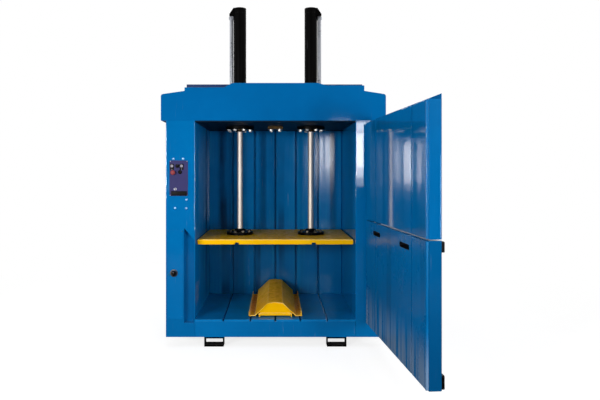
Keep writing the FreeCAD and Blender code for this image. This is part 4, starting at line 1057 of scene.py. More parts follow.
class Repeat(Group):
    """A geometry node tree that turns points or paths into many small solids."""

    kind = "GeometryNodeTree"
    output = ("Geometry", Kind.GEOMETRY)
    sizes: type = HeadSize
    smooth = False

    @classmethod
    def inputs(cls) -> dict[str, tuple[Kind, float | None]]:
        """The points or paths, the sizes, and the finish."""
        sizes = {label(item.name): (Kind.FLOAT, None) for item in fields(cls.sizes)}
        return {"Geometry": (Kind.GEOMETRY, None), **sizes, "Finish": (Kind.MATERIAL, None)}

    @classmethod
    def copies(cls, graph: Graph, given: bpy.types.NodeOutputs) -> bpy.types.NodeSocket:
        """Add the tree's own nodes and return the instances."""
        raise NotImplementedError

    @classmethod
    def body(cls, graph: Graph, given: bpy.types.NodeOutputs) -> bpy.types.NodeSocket:
        """Make the instances real and give them their finish.

        Args:
            graph: the tree.
            given: its inputs.

        Returns:
            The finished geometry.
        """
        real = graph.add("GeometryNodeRealizeInstances", {0: cls.copies(graph, given)})
        smooth = graph.add("GeometryNodeSetShadeSmooth", {
            "Geometry": real.outputs[0], "Shade Smooth": cls.smooth})
        dressed = graph.add("GeometryNodeSetMaterial", {
            "Geometry": smooth.outputs[0], "Material": given["Finish"]})
        return dressed.outputs[0]

    @classmethod
    def build(cls, name: str, base: bpy.types.Mesh, size: HeadSize | BeadSize, body: Body,
              slot: Slot, stands_for: Sequence[str] = (), finish: Finish | None = None) -> None:
        """Run the tree on a mesh and make the result a piece.

        Args:
            name: the piece's name.
            base: points or edges in place.
            size: the tree's sizes.
            body: the body it rides on.
            slot: the record's material slot.
            stands_for: CAD nodes that it replaces.
            finish: its finish, where that isn't the slot's own.
        """
        thing = placed(base.name, base)
        modifier = thing.modifiers.new(cls.name, "NODES")
        modifier.node_group = cls.tree()
        sockets = {item.name: item.identifier for item in cls.tree().interface.items_tree
                   if item.item_type == "SOCKET" and item.in_out == "INPUT"}
        for key, value in asdict(size).items():
            modifier[sockets[label(key)]] = value
        modifier[sockets["Finish"]] = PALETTE.of(finish or FINISHES[slot])
        graph = bpy.context.evaluated_depsgraph_get()
        mesh = bpy.data.meshes.new_from_object(thing.evaluated_get(graph), depsgraph=graph)
        bpy.data.objects.remove(thing)
        piece(name, mesh, body, slot, stands_for)


class Fasteners(Repeat):
    """A hexagon head on a washer at each point."""

    name = "hexagon heads"
    washer_sides = 24
    hexagon_sides = 6
    hexagon_share = 0.82
    chamfer_share = 0.18
    chamfer = 0.84
    spin = 0.5
    seed = 7

    @classmethod
    def head(cls, graph: Graph, given: bpy.types.NodeOutputs) -> bpy.types.NodeSocket:
        """One head: washer, hexagon and bevelled top, standing on the origin along Z.

        Args:
            graph: the tree.
            given: its inputs.

        Returns:
            The head.
        """
        radius = graph.product(given["Across Corners"], 0.5)
        thick = given["Washer Thickness"]
        tall = graph.product(given["Height"], cls.hexagon_share)
        washer = graph.add("GeometryNodeMeshCylinder", {
            "Vertices": cls.washer_sides, "Radius": given["Washer Radius"], "Depth": thick})
        hexagon = graph.add("GeometryNodeMeshCylinder", {
            "Vertices": cls.hexagon_sides, "Radius": radius, "Depth": tall})
        top = graph.add("GeometryNodeMeshCone", {
            "Vertices": cls.hexagon_sides, "Radius Bottom": radius,
            "Radius Top": graph.product(radius, cls.chamfer),
            "Depth": graph.product(given["Height"], cls.chamfer_share)})
        lifts = ((washer, graph.product(thick, 0.5)),
                 (hexagon, graph.maths("MULTIPLY_ADD", tall, 0.5, thick)),
                 (top, graph.maths("ADD", thick, tall)))
        joined = graph.add("GeometryNodeJoinGeometry")
        for part, lift in lifts:
            move = graph.add("ShaderNodeCombineXYZ", {"Z": lift})
            moved = graph.add("GeometryNodeTransform", {
                "Geometry": part.outputs[0], "Translation": move.outputs[0]})
            graph.feed(joined.inputs[0], moved.outputs[0])
        return joined.outputs[0]

    @classmethod
    def copies(cls, graph: Graph, given: bpy.types.NodeOutputs) -> bpy.types.NodeSocket:
        """Stand a head on each point, facing its own way, each turned a little differently.

        Args:
            graph: the tree.
            given: its inputs.

        Returns:
            The instances.
        """
        aim = graph.add("GeometryNodeInputNamedAttribute", {"Name": "aim"},
                        data_type="FLOAT_VECTOR")
        out = graph.add("FunctionNodeAlignRotationToVector", {"Vector": aim.outputs[0]}, axis="Z")
        local = graph.add("FunctionNodeAxisAngleToRotation", {
            "Axis": (0, 0, 1), "Angle": graph.random(-cls.spin, cls.spin, cls.seed)})
        turn = graph.add("FunctionNodeRotateRotation", {0: out.outputs[0], 1: local.outputs[0]},
                         rotation_space="LOCAL")
        heads = graph.add("GeometryNodeInstanceOnPoints", {
            "Points": given["Geometry"], "Instance": cls.head(graph, given),
            "Rotation": turn.outputs[0]})
        return heads.outputs[0]


class DomedHeads(Fasteners):
    """A low domed head at each point."""

    name = "domed heads"
    smooth = True

    @classmethod
    def head(cls, graph: Graph, given: bpy.types.NodeOutputs) -> bpy.types.NodeSocket:
        """One head: a squashed ball, half of it in the surface.

        Args:
            graph: the tree.
            given: its inputs.

        Returns:
            The head.
        """
        radius = graph.product(given["Across Corners"], 0.5)
        ball = graph.add("GeometryNodeMeshUVSphere", {"Segments": 16, "Rings": 8,
                                                      "Radius": radius})
        flat = graph.maths("DIVIDE", given["Height"], radius)
        size = graph.add("ShaderNodeCombineXYZ", {"X": 1.0, "Y": 1.0, "Z": flat})
        return graph.add("GeometryNodeTransform", {
            "Geometry": ball.outputs[0], "Scale": size.outputs[0]}).outputs[0]


class WeldBeads(Repeat):
    """Overlapping ripples of weld along each edge of a path."""

    name = "weld beads"
    sizes = BeadSize
    smooth = True
    uneven = (0.82, 1.12)
    seed = 3

    @classmethod
    def copies(cls, graph: Graph, given: bpy.types.NodeOutputs) -> bpy.types.NodeSocket:
        """Lay balls of uneven size along the path.

        Args:
            graph: the tree.
            given: its inputs.

        Returns:
            The instances.
        """
        path = graph.add("GeometryNodeMeshToCurve", {"Mesh": given["Geometry"]})
        even = graph.add("GeometryNodeResampleCurve", {
            "Curve": path.outputs[0], "Length": given["Spacing"]}, mode="LENGTH")
        ripple = graph.add("GeometryNodeMeshUVSphere", {
            "Segments": 8, "Rings": 4, "Radius": graph.product(given["Width"], 0.5)})
        beads = graph.add("GeometryNodeInstanceOnPoints", {
            "Points": even.outputs[0], "Instance": ripple.outputs[0],
            "Scale": graph.random(*cls.uneven, cls.seed)})
        return beads.outputs[0]


def aimed_points(name: str, spots: Iterable[Point | Vector], aim: Vector) -> bpy.types.Mesh:
    """A mesh of loose points, each with the direction that a fastener on it faces.

    Args:
        name: the mesh's name.
        spots: the points.
        aim: the direction.

    Returns:
        The mesh.
    """
    spots = [tuple(spot) for spot in spots]
    mesh = bpy.data.meshes.new(name)
    mesh.from_pydata(spots, [], [])
    mesh.attributes.new("aim", "FLOAT_VECTOR", "POINT").data.foreach_set(
        "vector", list(aim) * len(spots))
    return mesh


def path_mesh(name: str, paths: Iterable[Sequence[Point | Vector]]) -> bpy.types.Mesh:
    """A mesh of open paths.

    Args:
        name: the mesh's name.
        paths: the spots along each path.

    Returns:
        The mesh.
    """
    points: list[Point] = []
    edges = []
    for path in paths:
        start = len(points)
        points += [tuple(spot) for spot in path]
        edges += [(start + index, start + index + 1) for index in range(len(path) - 1)]
    mesh = bpy.data.meshes.new(name)
    mesh.from_pydata(points, edges, [])
    return mesh


def circle_path(centre: Vector, radius: float, steps: int = 48) -> list[Vector]:
    """A level circle as a closed path."""
    return [centre + polar(radius, 2 * math.pi * index / steps) for index in range(steps + 1)]


def on_circle(centre: Vector, radius: float, count: int) -> list[Vector]:
    """Evenly spaced spots on a level circle."""
    return [centre + polar(radius, 2 * math.pi * (index + 0.5) / count) for index in range(count)]


# ---- surroundings


@dataclass(frozen=True)
class Lamp:
    """A soft rectangular lamp, with its brightness as seen in a mirror."""

    name: str
    place: Point
    aim: Point
    size: Pair
    radiance: float

    def build(self) -> None:
        """Hang the lamp."""
        data = bpy.data.lights.new(self.name, "AREA")
        data.shape = "RECTANGLE"
        data.size, data.size_y = self.size
        data.energy = self.radiance * math.pi * self.size[0] * self.size[1]
        thing = placed(self.name, data)
        thing.location = self.place
        aim = Vector(self.aim) - Vector(self.place)
        thing.rotation_euler = aim.to_track_quat("-Z", "Y").to_euler()


def pane(index: int, low: float, high: float, radiance: float) -> Lamp:
    """One pane of the barred window right of the camera.

    Args:
        index: its number, from the lowest.
        low: height of its lower edge.
        high: height of its upper edge.
        radiance: its brightness as seen in a mirror.

    Returns:
        The pane as a lamp.
    """
    across, away, width = 1.06, -4.9, 0.34
    level = (low + high) / 2
    return Lamp(f"right window {index}", (across, away, level), (across, 0.0, level),
                (width, high - low), radiance)


@dataclass
class Studio:
    """Pale floor, white surroundings, soft lamps and the camera at the photograph's place."""

    camera_place: Point = (0.005, -4.256, 1.315)
    lens: float = 33.6
    shift: Pair = (0.04, -0.0433)
    clip_end: float = 200.0
    surround: float = 0.24
    card: float = 0.85
    dark: float = 0.02
    card_edge: Pair = (0.32, 0.50)
    card_foot: Pair = (-0.05, 0.25)
    backdrop: Pair = (0.0, 0.3)
    floor_half: float = 40.0
    floor_greys: Pair = (0.44, 0.48)
    floor_speckle: float = 3.0
    floor_lift: float = 0.78
    floor_fade: Pair = (1.8, 4.5)
    floor_front: Pair = (0.6, 1.4)
    floor_bounce: float = 0.25
    floor_dull: float = 0.06
    lamps: tuple[Lamp, ...] = (
        Lamp("key", (-3.5, -4.3, 1.5), (0.0, 0.2, 1.0), (0.9, 1.2), 25.0),
        Lamp("left window", (-2.46, -4.9, 1.54), (-0.1, 0.9, 1.42), (0.27, 0.86), 115.0),
        Lamp("left window side", (-2.14, -4.9, 1.50), (-0.1, 0.9, 1.42), (0.20, 0.70), 8.0),
        pane(0, 1.12, 1.26, 5.0),
        pane(1, 1.26, 1.42, 13.0),
        pane(2, 1.42, 1.985, 24.0),
        pane(3, 2.01, 2.16, 17.0),
        Lamp("fill", (2.13, -5.2, 1.0), (-0.2, 0.3, 0.7), (0.38, 1.4), 36.0),
        Lamp("side fill", (3.55, -5.2, 1.0), (-0.3, 0.3, 0.7), (0.7, 1.1), 26.0),
        Lamp("top", (0.0, -0.6, 6.2), (0.0, 0.2, 0.0), (3.0, 3.0), 1.2),
        Lamp("behind", (0.6, 5.2, 3.6), (0.0, 0.5, 1.2), (3.0, 1.6), 5.5),
    )

    def build(self) -> None:
        """Set up everything that isn't part of the object."""
        self.camera()
        self.world()
        self.floor()
        for lamp in self.lamps:
            lamp.build()

    def camera(self) -> None:
        """A level camera in front of the chamber."""
        data = bpy.data.cameras.new("camera")
        data.lens = self.lens
        data.shift_x, data.shift_y = self.shift
        data.clip_end = self.clip_end
        thing = placed("camera", data)
        thing.location = self.camera_place
        thing.rotation_euler = (math.pi / 2, 0, 0)
        bpy.context.scene.camera = thing

    def world(self) -> None:
        """White where it is seen and behind the object in reflections, dark behind the camera."""
        world = bpy.data.worlds.new("studio")
        world.use_nodes = True
        bpy.context.scene.world = world
        graph = Graph(world.node_tree)
        background = world.node_tree.nodes["Background"]
        rays = graph.add("ShaderNodeLightPath").outputs
        direction = graph.add("ShaderNodeTexCoord").outputs["Generated"]
        parts = graph.add("ShaderNodeSeparateXYZ", {0: direction}).outputs
        sideways = graph.maths("ABSOLUTE", parts["X"])
        wide = graph.ramp(sideways, *self.card_edge, to=(self.dark, self.card))
        above = graph.ramp(parts["Z"], *self.card_foot)
        backdrop = graph.ramp(parts["Y"], *self.backdrop)
        mirrored = graph.maths("MAXIMUM", graph.product(wide, above), backdrop)
        seen = graph.maths("MAXIMUM", rays["Is Camera Ray"], rays["Is Transmission Ray"])
        matt = graph.product(rays["Is Diffuse Ray"], self.surround)
        glossy = graph.product(rays["Is Glossy Ray"], mirrored)
        unseen = graph.maths("ADD", matt,
                             graph.product(glossy, graph.maths("SUBTRACT", 1.0, seen)))
        graph.feed(background.inputs["Strength"], graph.maths("MAXIMUM", seen, unseen))
        background.inputs["Color"].default_value = grey(1.0)

    def floor(self) -> None:
        """A pale floor that keeps a soft shadow, dull in reflections in front of the object."""
        half = self.floor_half
        mesh = bpy.data.meshes.new("floor")
        corners = [(-half, -half, 0), (half, -half, 0), (half, half, 0), (-half, half, 0)]
        mesh.from_pydata(corners, [], [(0, 1, 2, 3)])
        mesh.materials.append(self.floor_material())
        placed("floor", mesh)

    def floor_material(self) -> bpy.types.Material:
        """The floor's material.

        Returns:
            The material.
        """
        material = bpy.data.materials.new("pale floor")
        material.use_nodes = True
        nodes = material.node_tree.nodes
        nodes.remove(nodes["Principled BSDF"])
        graph = Graph(material.node_tree)
        rays = graph.add("ShaderNodeLightPath").outputs
        place = graph.add("ShaderNodeTexCoord").outputs["Object"]
        away = graph.add("ShaderNodeVectorMath", {0: place}, operation="LENGTH").outputs["Value"]
        speckle = graph.noise(place, self.floor_speckle, detail=3.0)
        matt = graph.add("ShaderNodeBsdfDiffuse", {
            "Color": graph.blend(speckle, *map(grey, self.floor_greys))})
        lift = graph.add("ShaderNodeEmission", {"Color": grey(1.0), "Strength": self.floor_lift})
        near = graph.add("ShaderNodeAddShader", {0: matt.outputs[0], 1: lift.outputs[0]})
        plain = graph.add("ShaderNodeEmission", {"Color": grey(1.0), "Strength": 1.0})
        seen = graph.add("ShaderNodeMixShader", {
            0: graph.ramp(away, *self.floor_fade), 1: near.outputs[0], 2: plain.outputs[0]})
        along = graph.add("ShaderNodeSeparateXYZ", {0: place}).outputs["Y"]
        dull = graph.add("ShaderNodeBsdfDiffuse", {"Color": graph.blend(
            rays["Is Glossy Ray"], grey(self.floor_bounce), grey(self.floor_dull))})
        mirrored = graph.product(rays["Is Glossy Ray"], graph.ramp(along, *self.floor_front))
        clear = graph.maths("MAXIMUM", rays["Is Camera Ray"], rays["Is Transmission Ray"])
        mixed = graph.add("ShaderNodeMixShader", {
            0: graph.maths("MAXIMUM", clear, mirrored), 1: dull.outputs[0], 2: seen.outputs[0]})
        graph.feed(nodes["Material Output"].inputs["Surface"], mixed.outputs[0])
        return material


# ---- sub-assemblies


@dataclass
class Chamber:
    """The welds of the frame: along the ribs of its walls and on top of the fork loops."""

    bead: BeadSize = BeadSize(width=0.007, spacing=0.0042)
    rib_count: int = 4
    rib_height: float = 0.080
    rib_depth: float = 0.080
    rib_margin: float = 0.170
    post_depth: float = 0.100
    column_gap: float = 0.004
    back_depth: float = 0.034
    back_half: float = 0.604
    loop_inset: float = 0.004
    loops: tuple[str, ...] = ("front_left_fork_loop", "front_right_fork_loop",
                              "rear_left_fork_loop", "rear_right_fork_loop")

    def rib_levels(self) -> list[float]:
        """Heights of the lower and upper edge of each rib.

        Returns:
            The heights, from the lowest.
        """
        low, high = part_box("back_frame")
        step = (high.z - low.z - 2 * self.rib_margin) / (self.rib_count - 1)
        centres = [low.z + self.rib_margin + step * index for index in range(self.rib_count)]
        return [centre + side * self.rib_height / 2 for centre in centres for side in (-1, 1)]

    def build(self) -> None:
        """Add the welds that show from outside."""
        levels = self.rib_levels()
        sheet = abs(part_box("left_side_wall")[0].x + self.rib_depth)
        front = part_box("left_column")[1].y + self.column_gap
        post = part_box("back_frame")[1].y - self.post_depth
        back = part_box("floor_planks")[1].y + self.back_depth
        half = self.back_half
        self.weld("side_welds", Slot.BLUE, [
            [(side * sheet, front, level), (side * sheet, post, level)]
            for level in levels for side in (-1, 1)])
        self.weld("back_welds", Slot.BLUE, [
            [(-half, back, level), (half, back, level)] for level in levels])
        self.weld("fork_loop_welds", Slot.BLACK, [
            [(low.x + self.loop_inset, y, high.z), (high.x - self.loop_inset, y, high.z)]
            for low, high in map(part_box, self.loops) for y in (low.y, high.y)])

    def weld(self, name: str, slot: Slot, paths: list[list[Point]]) -> None:
        """Lay beads along paths on the frame."""
        WeldBeads.build(name, path_mesh(name, paths), self.bead, Body.FRAME, slot)


@dataclass
class Crosshead:
    """What the crosshead carries: bolts under the glands, wiper rings, cap screws and unions."""

    bolt_circle: float = 0.095
    bolt_count: int = 8
    block_inset: float = 0.028
    bolt_head: HeadSize = HeadSize(across_corners=0.024 / math.cos(math.pi / 6), height=0.0125,
                                   washer_radius=0.0165, washer_thickness=0.0025)
    wiper: Profile = ((0.0245, 0.0), (0.052, 0.0), (0.052, 0.006), (0.049, 0.009), (0.037, 0.009),
                      (0.035, 0.015), (0.033, 0.016), (0.0262, 0.016), (0.0245, 0.013))
    wiper_sides: int = 56
    cap_circle: float = 0.040
    cap_count: int = 6
    cap_rim: float = 0.007
    cap_head: HeadSize = HeadSize(across_corners=0.013, height=0.006, washer_radius=0.008,
                                  washer_thickness=0.0008)
    union_inset: float = 0.018
    union_drop: float = 0.030
    union_nut: HeadSize = HeadSize(across_corners=0.045, height=0.027, washer_radius=0.0185,
                                   washer_thickness=0.003)

    def build(self) -> None:
        """Add the bolts, the rings and the unions."""
        self.gland_bolts()
        self.wiper_rings()
        self.cap_bolts()
        self.unions()

    def gland_bolts(self) -> None:
        """Hexagon heads under both glands and the centre block."""
        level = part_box("cylinder_glands")[0].z
        spots = []
        for side in SIDES:
            axis = middle(side + "_rod")
            spots += on_circle(Vector((axis.x, axis.y, level)), self.bolt_circle, self.bolt_count)
        low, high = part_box("centre_block")
        spots += [(x, y, low.z) for x in (low.x + self.block_inset, high.x - self.block_inset)
                  for y in (low.y + self.block_inset, high.y - self.block_inset)]
        Fasteners.build("gland_bolt_heads", aimed_points("gland bolts", spots, -Z_AXIS),
                        self.bolt_head, Body.FRAME, Slot.STEEL, ["gland_bolts"])

    def wiper_rings(self) -> None:
        """A stepped bronze wiper ring round each rod under its gland."""
        maker = bmesh.new()
        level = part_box("cylinder_glands")[0].z
        for side in SIDES:
            axis = middle(side + "_rod")
            place = facing((axis.x, axis.y, level), -Z_AXIS)
            turned(maker, self.wiper, place, self.wiper_sides, closed=True)
        piece("rod_wiper_rings", mesh_from(maker, "wiper rings"), Body.FRAME, Slot.BRASS)

    def cap_bolts(self) -> None:
        """Screws on the cylinder caps."""
        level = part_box("cylinder_caps")[1].z - self.cap_rim
        spots = []
        for side in SIDES:
            axis = middle(side + "_cylinder_barrel")
            spots += on_circle(Vector((axis.x, axis.y, level)), self.cap_circle, self.cap_count)
        Fasteners.build("cap_bolt_heads", aimed_points("cap bolts", spots, Z_AXIS), self.cap_head,
                        Body.FRAME, Slot.STEEL)

    def unions(self) -> None:
        """A union nut at the top of each return pipe."""
        (left, left_top), (_, right_top) = (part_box(side + "_return_pipe") for side in SIDES)
        spots = [(left.x + self.union_inset, middle("left_cylinder_barrel").y,
                  left_top.z - self.union_drop),
                 (right_top.x - self.union_inset, middle("right_cylinder_barrel").y,
                  right_top.z - self.union_drop)]
        Fasteners.build("pipe_union_nuts", aimed_points("pipe unions", spots, Z_AXIS),
                        self.union_nut, Body.FRAME, Slot.ZINC)


@dataclass
class Platen:
    """The bolts and welds of the platen's rod flanges."""

    bolt_circle: float = 0.084
    bolt_count: int = 8
    bolt_head: HeadSize = HeadSize(across_corners=0.0277, height=0.0125, washer_radius=0.0165,
                                   washer_thickness=0.0025)
    flange_thickness: float = 0.022
    weld_lift: float = 0.001
    collar_radius: float = 0.0435
    rod_radius: float = 0.0262
    bead: BeadSize = BeadSize(width=0.008, spacing=0.0045)

    def build(self) -> None:
        """Add bolts on the flanges and welds round the collars."""
        low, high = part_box("rod_flanges")
        flange_top = low.z + self.flange_thickness
        spots = []
        collars = []
        for side in SIDES:
            axis = middle(side + "_rod")
            spots += on_circle(Vector((axis.x, axis.y, flange_top)), self.bolt_circle,
                               self.bolt_count)
            for level, radius in ((flange_top + self.weld_lift, self.collar_radius),
                                  (high.z, self.rod_radius)):
                collars.append(circle_path(Vector((axis.x, axis.y, level)), radius))
        Fasteners.build("flange_bolt_heads", aimed_points("flange bolts", spots, Z_AXIS),
                        self.bolt_head, Body.PLATEN, Slot.STEEL, ["flange_bolts"], OILED_STEEL)
        WeldBeads.build("collar_welds", path_mesh("collar welds", collars), self.bead,
                        Body.PLATEN, Slot.BLACK)


@dataclass
class Controls:
    """Push buttons, selector, lamp and strip on the left column's panel."""

    sides: int = 48
    cap_radius: float = 0.0110
    cap_groove: float = 0.0006
    cap_hollow: float = 0.0012
    cap_rim: Profile = ((-0.0006, -0.0030), (0.0, -0.0024), (0.0, -0.0012), (-0.0012, 0.0),
                        (-0.0026, -0.0001), (-0.0042, -0.0008))
    stop_radius: float = 0.018
    stop_depth: float = 0.0120
    stop_neck: float = 0.001
    stop_crown: Profile = ((0.93, 0.0), (1.0, 0.0022), (1.0, 0.0062), (0.93, 0.0095),
                           (0.7, 0.0115), (0.35, 0.0120))
    bezel_radius: float = 0.0150
    bezel_height: float = 0.0060
    bezel_seat: float = 0.0004
    bezel_step: float = 0.55
    bezel_slope: float = 0.0012
    bezel_gap: float = 0.0006
    legend_size: Pair = (0.030, 0.047)
    legend_corner: float = 0.003
    legend_thickness: float = 0.0007
    legend_drop: float = 0.007
    arrow: Profile = ((-0.0012, -0.0035), (0.0012, -0.0035), (0.0012, 0.0), (0.0034, 0.0),
                      (0.0, 0.004), (-0.0034, 0.0), (-0.0012, 0.0))
    arrow_drop: float = 0.0245
    arrow_thickness: float = 0.0003
    grip_depth: float = 0.005
    knob_radius: float = 0.0108
    knob_foot: Profile = ((0.003, 0.0), (0.003, 0.0075), (0.0098, 0.008))
    knob_rim: Profile = ((-0.0008, -0.003), (0.0, -0.0024), (0.0, -0.0010), (-0.0010, 0.0))
    grip: Bar = Bar(0.0026, (-0.0098, 0.0098), (0.0001, 0.006), 0.0011)
    pointer: Bar = Bar(0.0006, (0.0022, 0.0086), (-0.00005, 0.0006), 0.0002)
    lamp_sides: int = 40
    lens: Profile = ((0, 0), (0.0086, 0), (0.0086, 0.0042), (0.0078, 0.0054), (0.0050, 0.0066),
                     (0, 0.0070))
    lens_ring: Profile = ((0.0087, 0), (0.0110, 0), (0.0110, 0.0030), (0.0102, 0.0040),
                          (0.0087, 0.0040))
    strip_corner: float = 0.0024
    screw_inset: float = 0.006
    panel_screw: HeadSize = HeadSize(across_corners=0.007, height=0.0018)
    column_screw: HeadSize = HeadSize(across_corners=0.019, height=0.0045)
    column_spots: Profile = ((-0.774, 1.4305), (-0.701, 1.4305), (-0.675, 1.1205),
                             (-0.762, 1.056), (-0.677, 1.054))

    def build(self) -> None:
        """Build every control."""
        self.cap("up_button", Body.UP, Slot.WHITE_PLASTIC)
        self.cap("down_button", Body.DOWN, Slot.WHITE_PLASTIC)
        self.cap("reset_button", Body.RESET, Slot.BLACK_PLASTIC)
        self.cap("stop_button", Body.STOP, Slot.RED_PLASTIC, mushroom=True)
        self.bezels()
        self.legends()
        self.arrows()
        self.selector()
        self.lamp()
        self.strip()
        self.screws()

    def panel_front(self) -> float:
        """Depth of the panel's front face."""
        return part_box("control_panel")[0].y

    def cap(self, node: str, body: Body, slot: Slot, mushroom: bool = False) -> None:
        """A push button's cap.

        Args:
            node: the button's CAD node.
            body: its body.
            slot: its finish.
            mushroom: whether it has a wide crowned head, and not a groove under a rounded rim
                and a hollow top.
        """
        low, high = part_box(node)
        length = high.y - low.y
        radius = self.cap_radius
        if mushroom:
            head = length - self.stop_depth
            profile = [(0, 0), (radius, 0), (radius, head - self.stop_neck)]
            profile += [(self.stop_radius * share, head + rise) for share, rise in self.stop_crown]
            profile.append((0, head + self.stop_depth))
        else:
            profile = [(0, 0), (radius - self.cap_groove, 0)]
            profile += [(radius + out, length + rise) for out, rise in self.cap_rim]
            profile.append((0, length - self.cap_hollow))
        maker = bmesh.new()
        turned(maker, profile, from_front(node, high.y), self.sides)
        piece(node + "_cap", mesh_from(maker, node), body, slot, [node])

    def bezels(self) -> None:
        """A stepped ring round each control."""
        inner, outer = self.cap_radius + self.bezel_gap, self.bezel_radius
        seat, top = self.bezel_seat, self.bezel_height
        profile = [(inner, seat), (outer, seat), (outer, top * self.bezel_step),
                   (outer - self.bezel_slope, top), (inner + self.bezel_gap, top),
                   (inner, top - self.bezel_gap)]
        maker = bmesh.new()
        for node in ("up_button", "down_button", "reset_button", "stop_button",
                     "selector_switch"):
            turned(maker, profile, from_front(node, self.panel_front()), self.sides, closed=True)
        piece("button_bezels", mesh_from(maker, "bezels"), Body.FRAME, Slot.BLACK_PLASTIC)

    def legends(self) -> None:
        """A thin plain plate behind the up and the down button."""
        maker = bmesh.new()
        outline = rounded_outline(*self.legend_size, self.legend_corner)
        for node in ("up_button", "down_button"):
            centre = middle(node)
            place = facing((centre.x, self.panel_front(), centre.z - self.legend_drop), -Y_AXIS)
            flat_plate(maker, outline, self.legend_thickness, place)
        piece("legend_plates", mesh_from(maker, "legends"), Body.FRAME, Slot.BLACK_PLASTIC)

    def arrows(self) -> None:
        """Plain arrows under the up and down buttons."""
        maker = bmesh.new()
        front = self.panel_front() - self.legend_thickness
        turned_over = [(x, -y) for x, y in reversed(self.arrow)]
        for node, outline in (("up_button", self.arrow), ("down_button", turned_over)):
            centre = middle(node)
            place = facing((centre.x, front, centre.z - self.arrow_drop), -Y_AXIS)
            flat_plate(maker, outline, self.arrow_thickness, place)
        piece("arrow_marks", mesh_from(maker, "arrows"), Body.FRAME, Slot.WHITE_PLASTIC)

    def selector(self) -> None:
        """A turned selector knob with a rounded grip bar and a white pointer line."""
        node = "selector_switch"
        low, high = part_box(node)
        length = high.y - (low.y + self.grip_depth)
        profile = [(0, 0), *self.knob_foot]
        profile += [(self.knob_radius + out, length + rise) for out, rise in self.knob_rim]
        profile.append((0, length))
        maker = bmesh.new()
        turned(maker, profile, from_front(node, high.y), self.sides)
        self.grip.add(maker, node)
        piece("selector_knob", mesh_from(maker, "selector"), Body.SELECTOR, Slot.BLACK_PLASTIC,
              [node])
        line = bmesh.new()
        self.pointer.add(line, node)
        piece("selector_pointer", mesh_from(line, "pointer"), Body.SELECTOR, Slot.WHITE_PLASTIC)

    def lamp(self) -> None:
        """A domed lens in a plated ring."""
        place = from_front("panel_lamp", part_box("panel_lamp")[1].y)
        lens = bmesh.new()
        turned(lens, self.lens, place, self.lamp_sides)
        piece("lamp_lens", mesh_from(lens, "lens"), Body.FRAME, Slot.WHITE_PLASTIC,
              ["panel_lamp"])
        ring = bmesh.new()
        turned(ring, self.lens_ring, place, self.lamp_sides, closed=True)
        piece("lamp_ring", mesh_from(ring, "lamp ring"), Body.FRAME, Slot.ZINC)

    def strip(self) -> None:
        """The black strip at the panel's foot, with rounded edges."""
        maker = bmesh.new()
        rounded_block(maker, *map(tuple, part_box("panel_strip")), self.strip_corner)
        piece("strip_housing", mesh_from(maker, "strip"), Body.FRAME, Slot.BLACK_PLASTIC,
              ["panel_strip"])

    def screws(self) -> None:
        """Domed screws on the panel's corners and on the column round the panel."""
        low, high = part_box("control_panel")
        corners = [(x, low.y, z) for x in (low.x + self.screw_inset, high.x - self.screw_inset)
                   for z in (low.z + self.screw_inset, high.z - self.screw_inset)]
        DomedHeads.build("panel_screws", aimed_points("panel screws", corners, -Y_AXIS),
                         self.panel_screw, Body.FRAME, Slot.ZINC)
        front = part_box("left_column")[0].y
        spots = [(x, front, z) for x, z in self.column_spots]
        DomedHeads.build("column_screws", aimed_points("column screws", spots, -Y_AXIS),
                         self.column_screw, Body.FRAME, Slot.STEEL, finish=BLUED_ZINC)


@dataclass
class LockGear:
    """The lock's knob, the ring round it and the screws of its cover, on the left column."""

    sides: int = 56
    knob_depth: float = 0.026
    stem_radius: float = 0.009
    disc: Profile = ((0.0178, 0.0001), (0.0188, 0.0012), (0.0188, 0.0095), (0.0174, 0.0125),
                     (0.010, 0.0135), (0, 0.0135))
    grip: Bar = Bar(0.0068, (-0.0176, 0.0176), (0.0001, 0.018), 0.0030)
    pointer: Bar = Bar(0.0010, (0.0040, 0.0140), (-0.00008, 0.0008), 0.0003)
    ring: Profile = ((0.0200, -0.0002), (0.0290, -0.0002), (0.0286, 0.0002), (0.0282, 0.0003),
                     (0.0204, 0.0003))
    cover_thickness: float = 0.003
    screw_inset: Pair = (0.012, 0.014)
    cover_screw: HeadSize = HeadSize(across_corners=0.010, height=0.0024)

    def build(self) -> None:
        """Add the knob, its ring and the screws."""
        self.knob()
        self.knob_ring()
        self.cover_screws()

    def knob(self) -> None:
        """A turned disc with a grip bar and a white pointer line."""
        node = "lock_knob"
        low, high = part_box(node)
        base = high.y - low.y - self.knob_depth
        stem = [(0, 0), (self.stem_radius, 0), (self.stem_radius, base)]
        disc = [(radius, base + rise) for radius, rise in self.disc]
        maker = bmesh.new()
        turned(maker, stem + disc, from_front(node, high.y), self.sides)
        self.grip.add(maker, node)
        piece("lock_grip", mesh_from(maker, "lock knob"), Body.KNOB, Slot.BLACK_PLASTIC, [node])
        line = bmesh.new()
        self.pointer.add(line, node)
        piece("lock_pointer", mesh_from(line, "lock pointer"), Body.KNOB, Slot.WHITE_PLASTIC)

    def knob_ring(self) -> None:
        """A flat ring on the cover round the knob."""
        maker = bmesh.new()
        place = from_front("lock_knob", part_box("lock_cover")[0].y)
        turned(maker, self.ring, place, self.sides, closed=True)
        piece("lock_ring", mesh_from(maker, "lock ring"), Body.FRAME, Slot.ZINC,
              finish=OILED_STEEL)

    def cover_screws(self) -> None:
        """Painted screws down both sides of the cover."""
        low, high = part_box("lock_cover")
        across, down = self.screw_inset
        spots = [(x, high.y - self.cover_thickness, z) for x in (low.x + across, high.x - across)
                 for z in (low.z + down, (low.z + high.z) / 2, high.z - down)]
        DomedHeads.build("lock_cover_screws", aimed_points("cover screws", spots, -Y_AXIS),
                         self.cover_screw, Body.FRAME, Slot.BLUE)


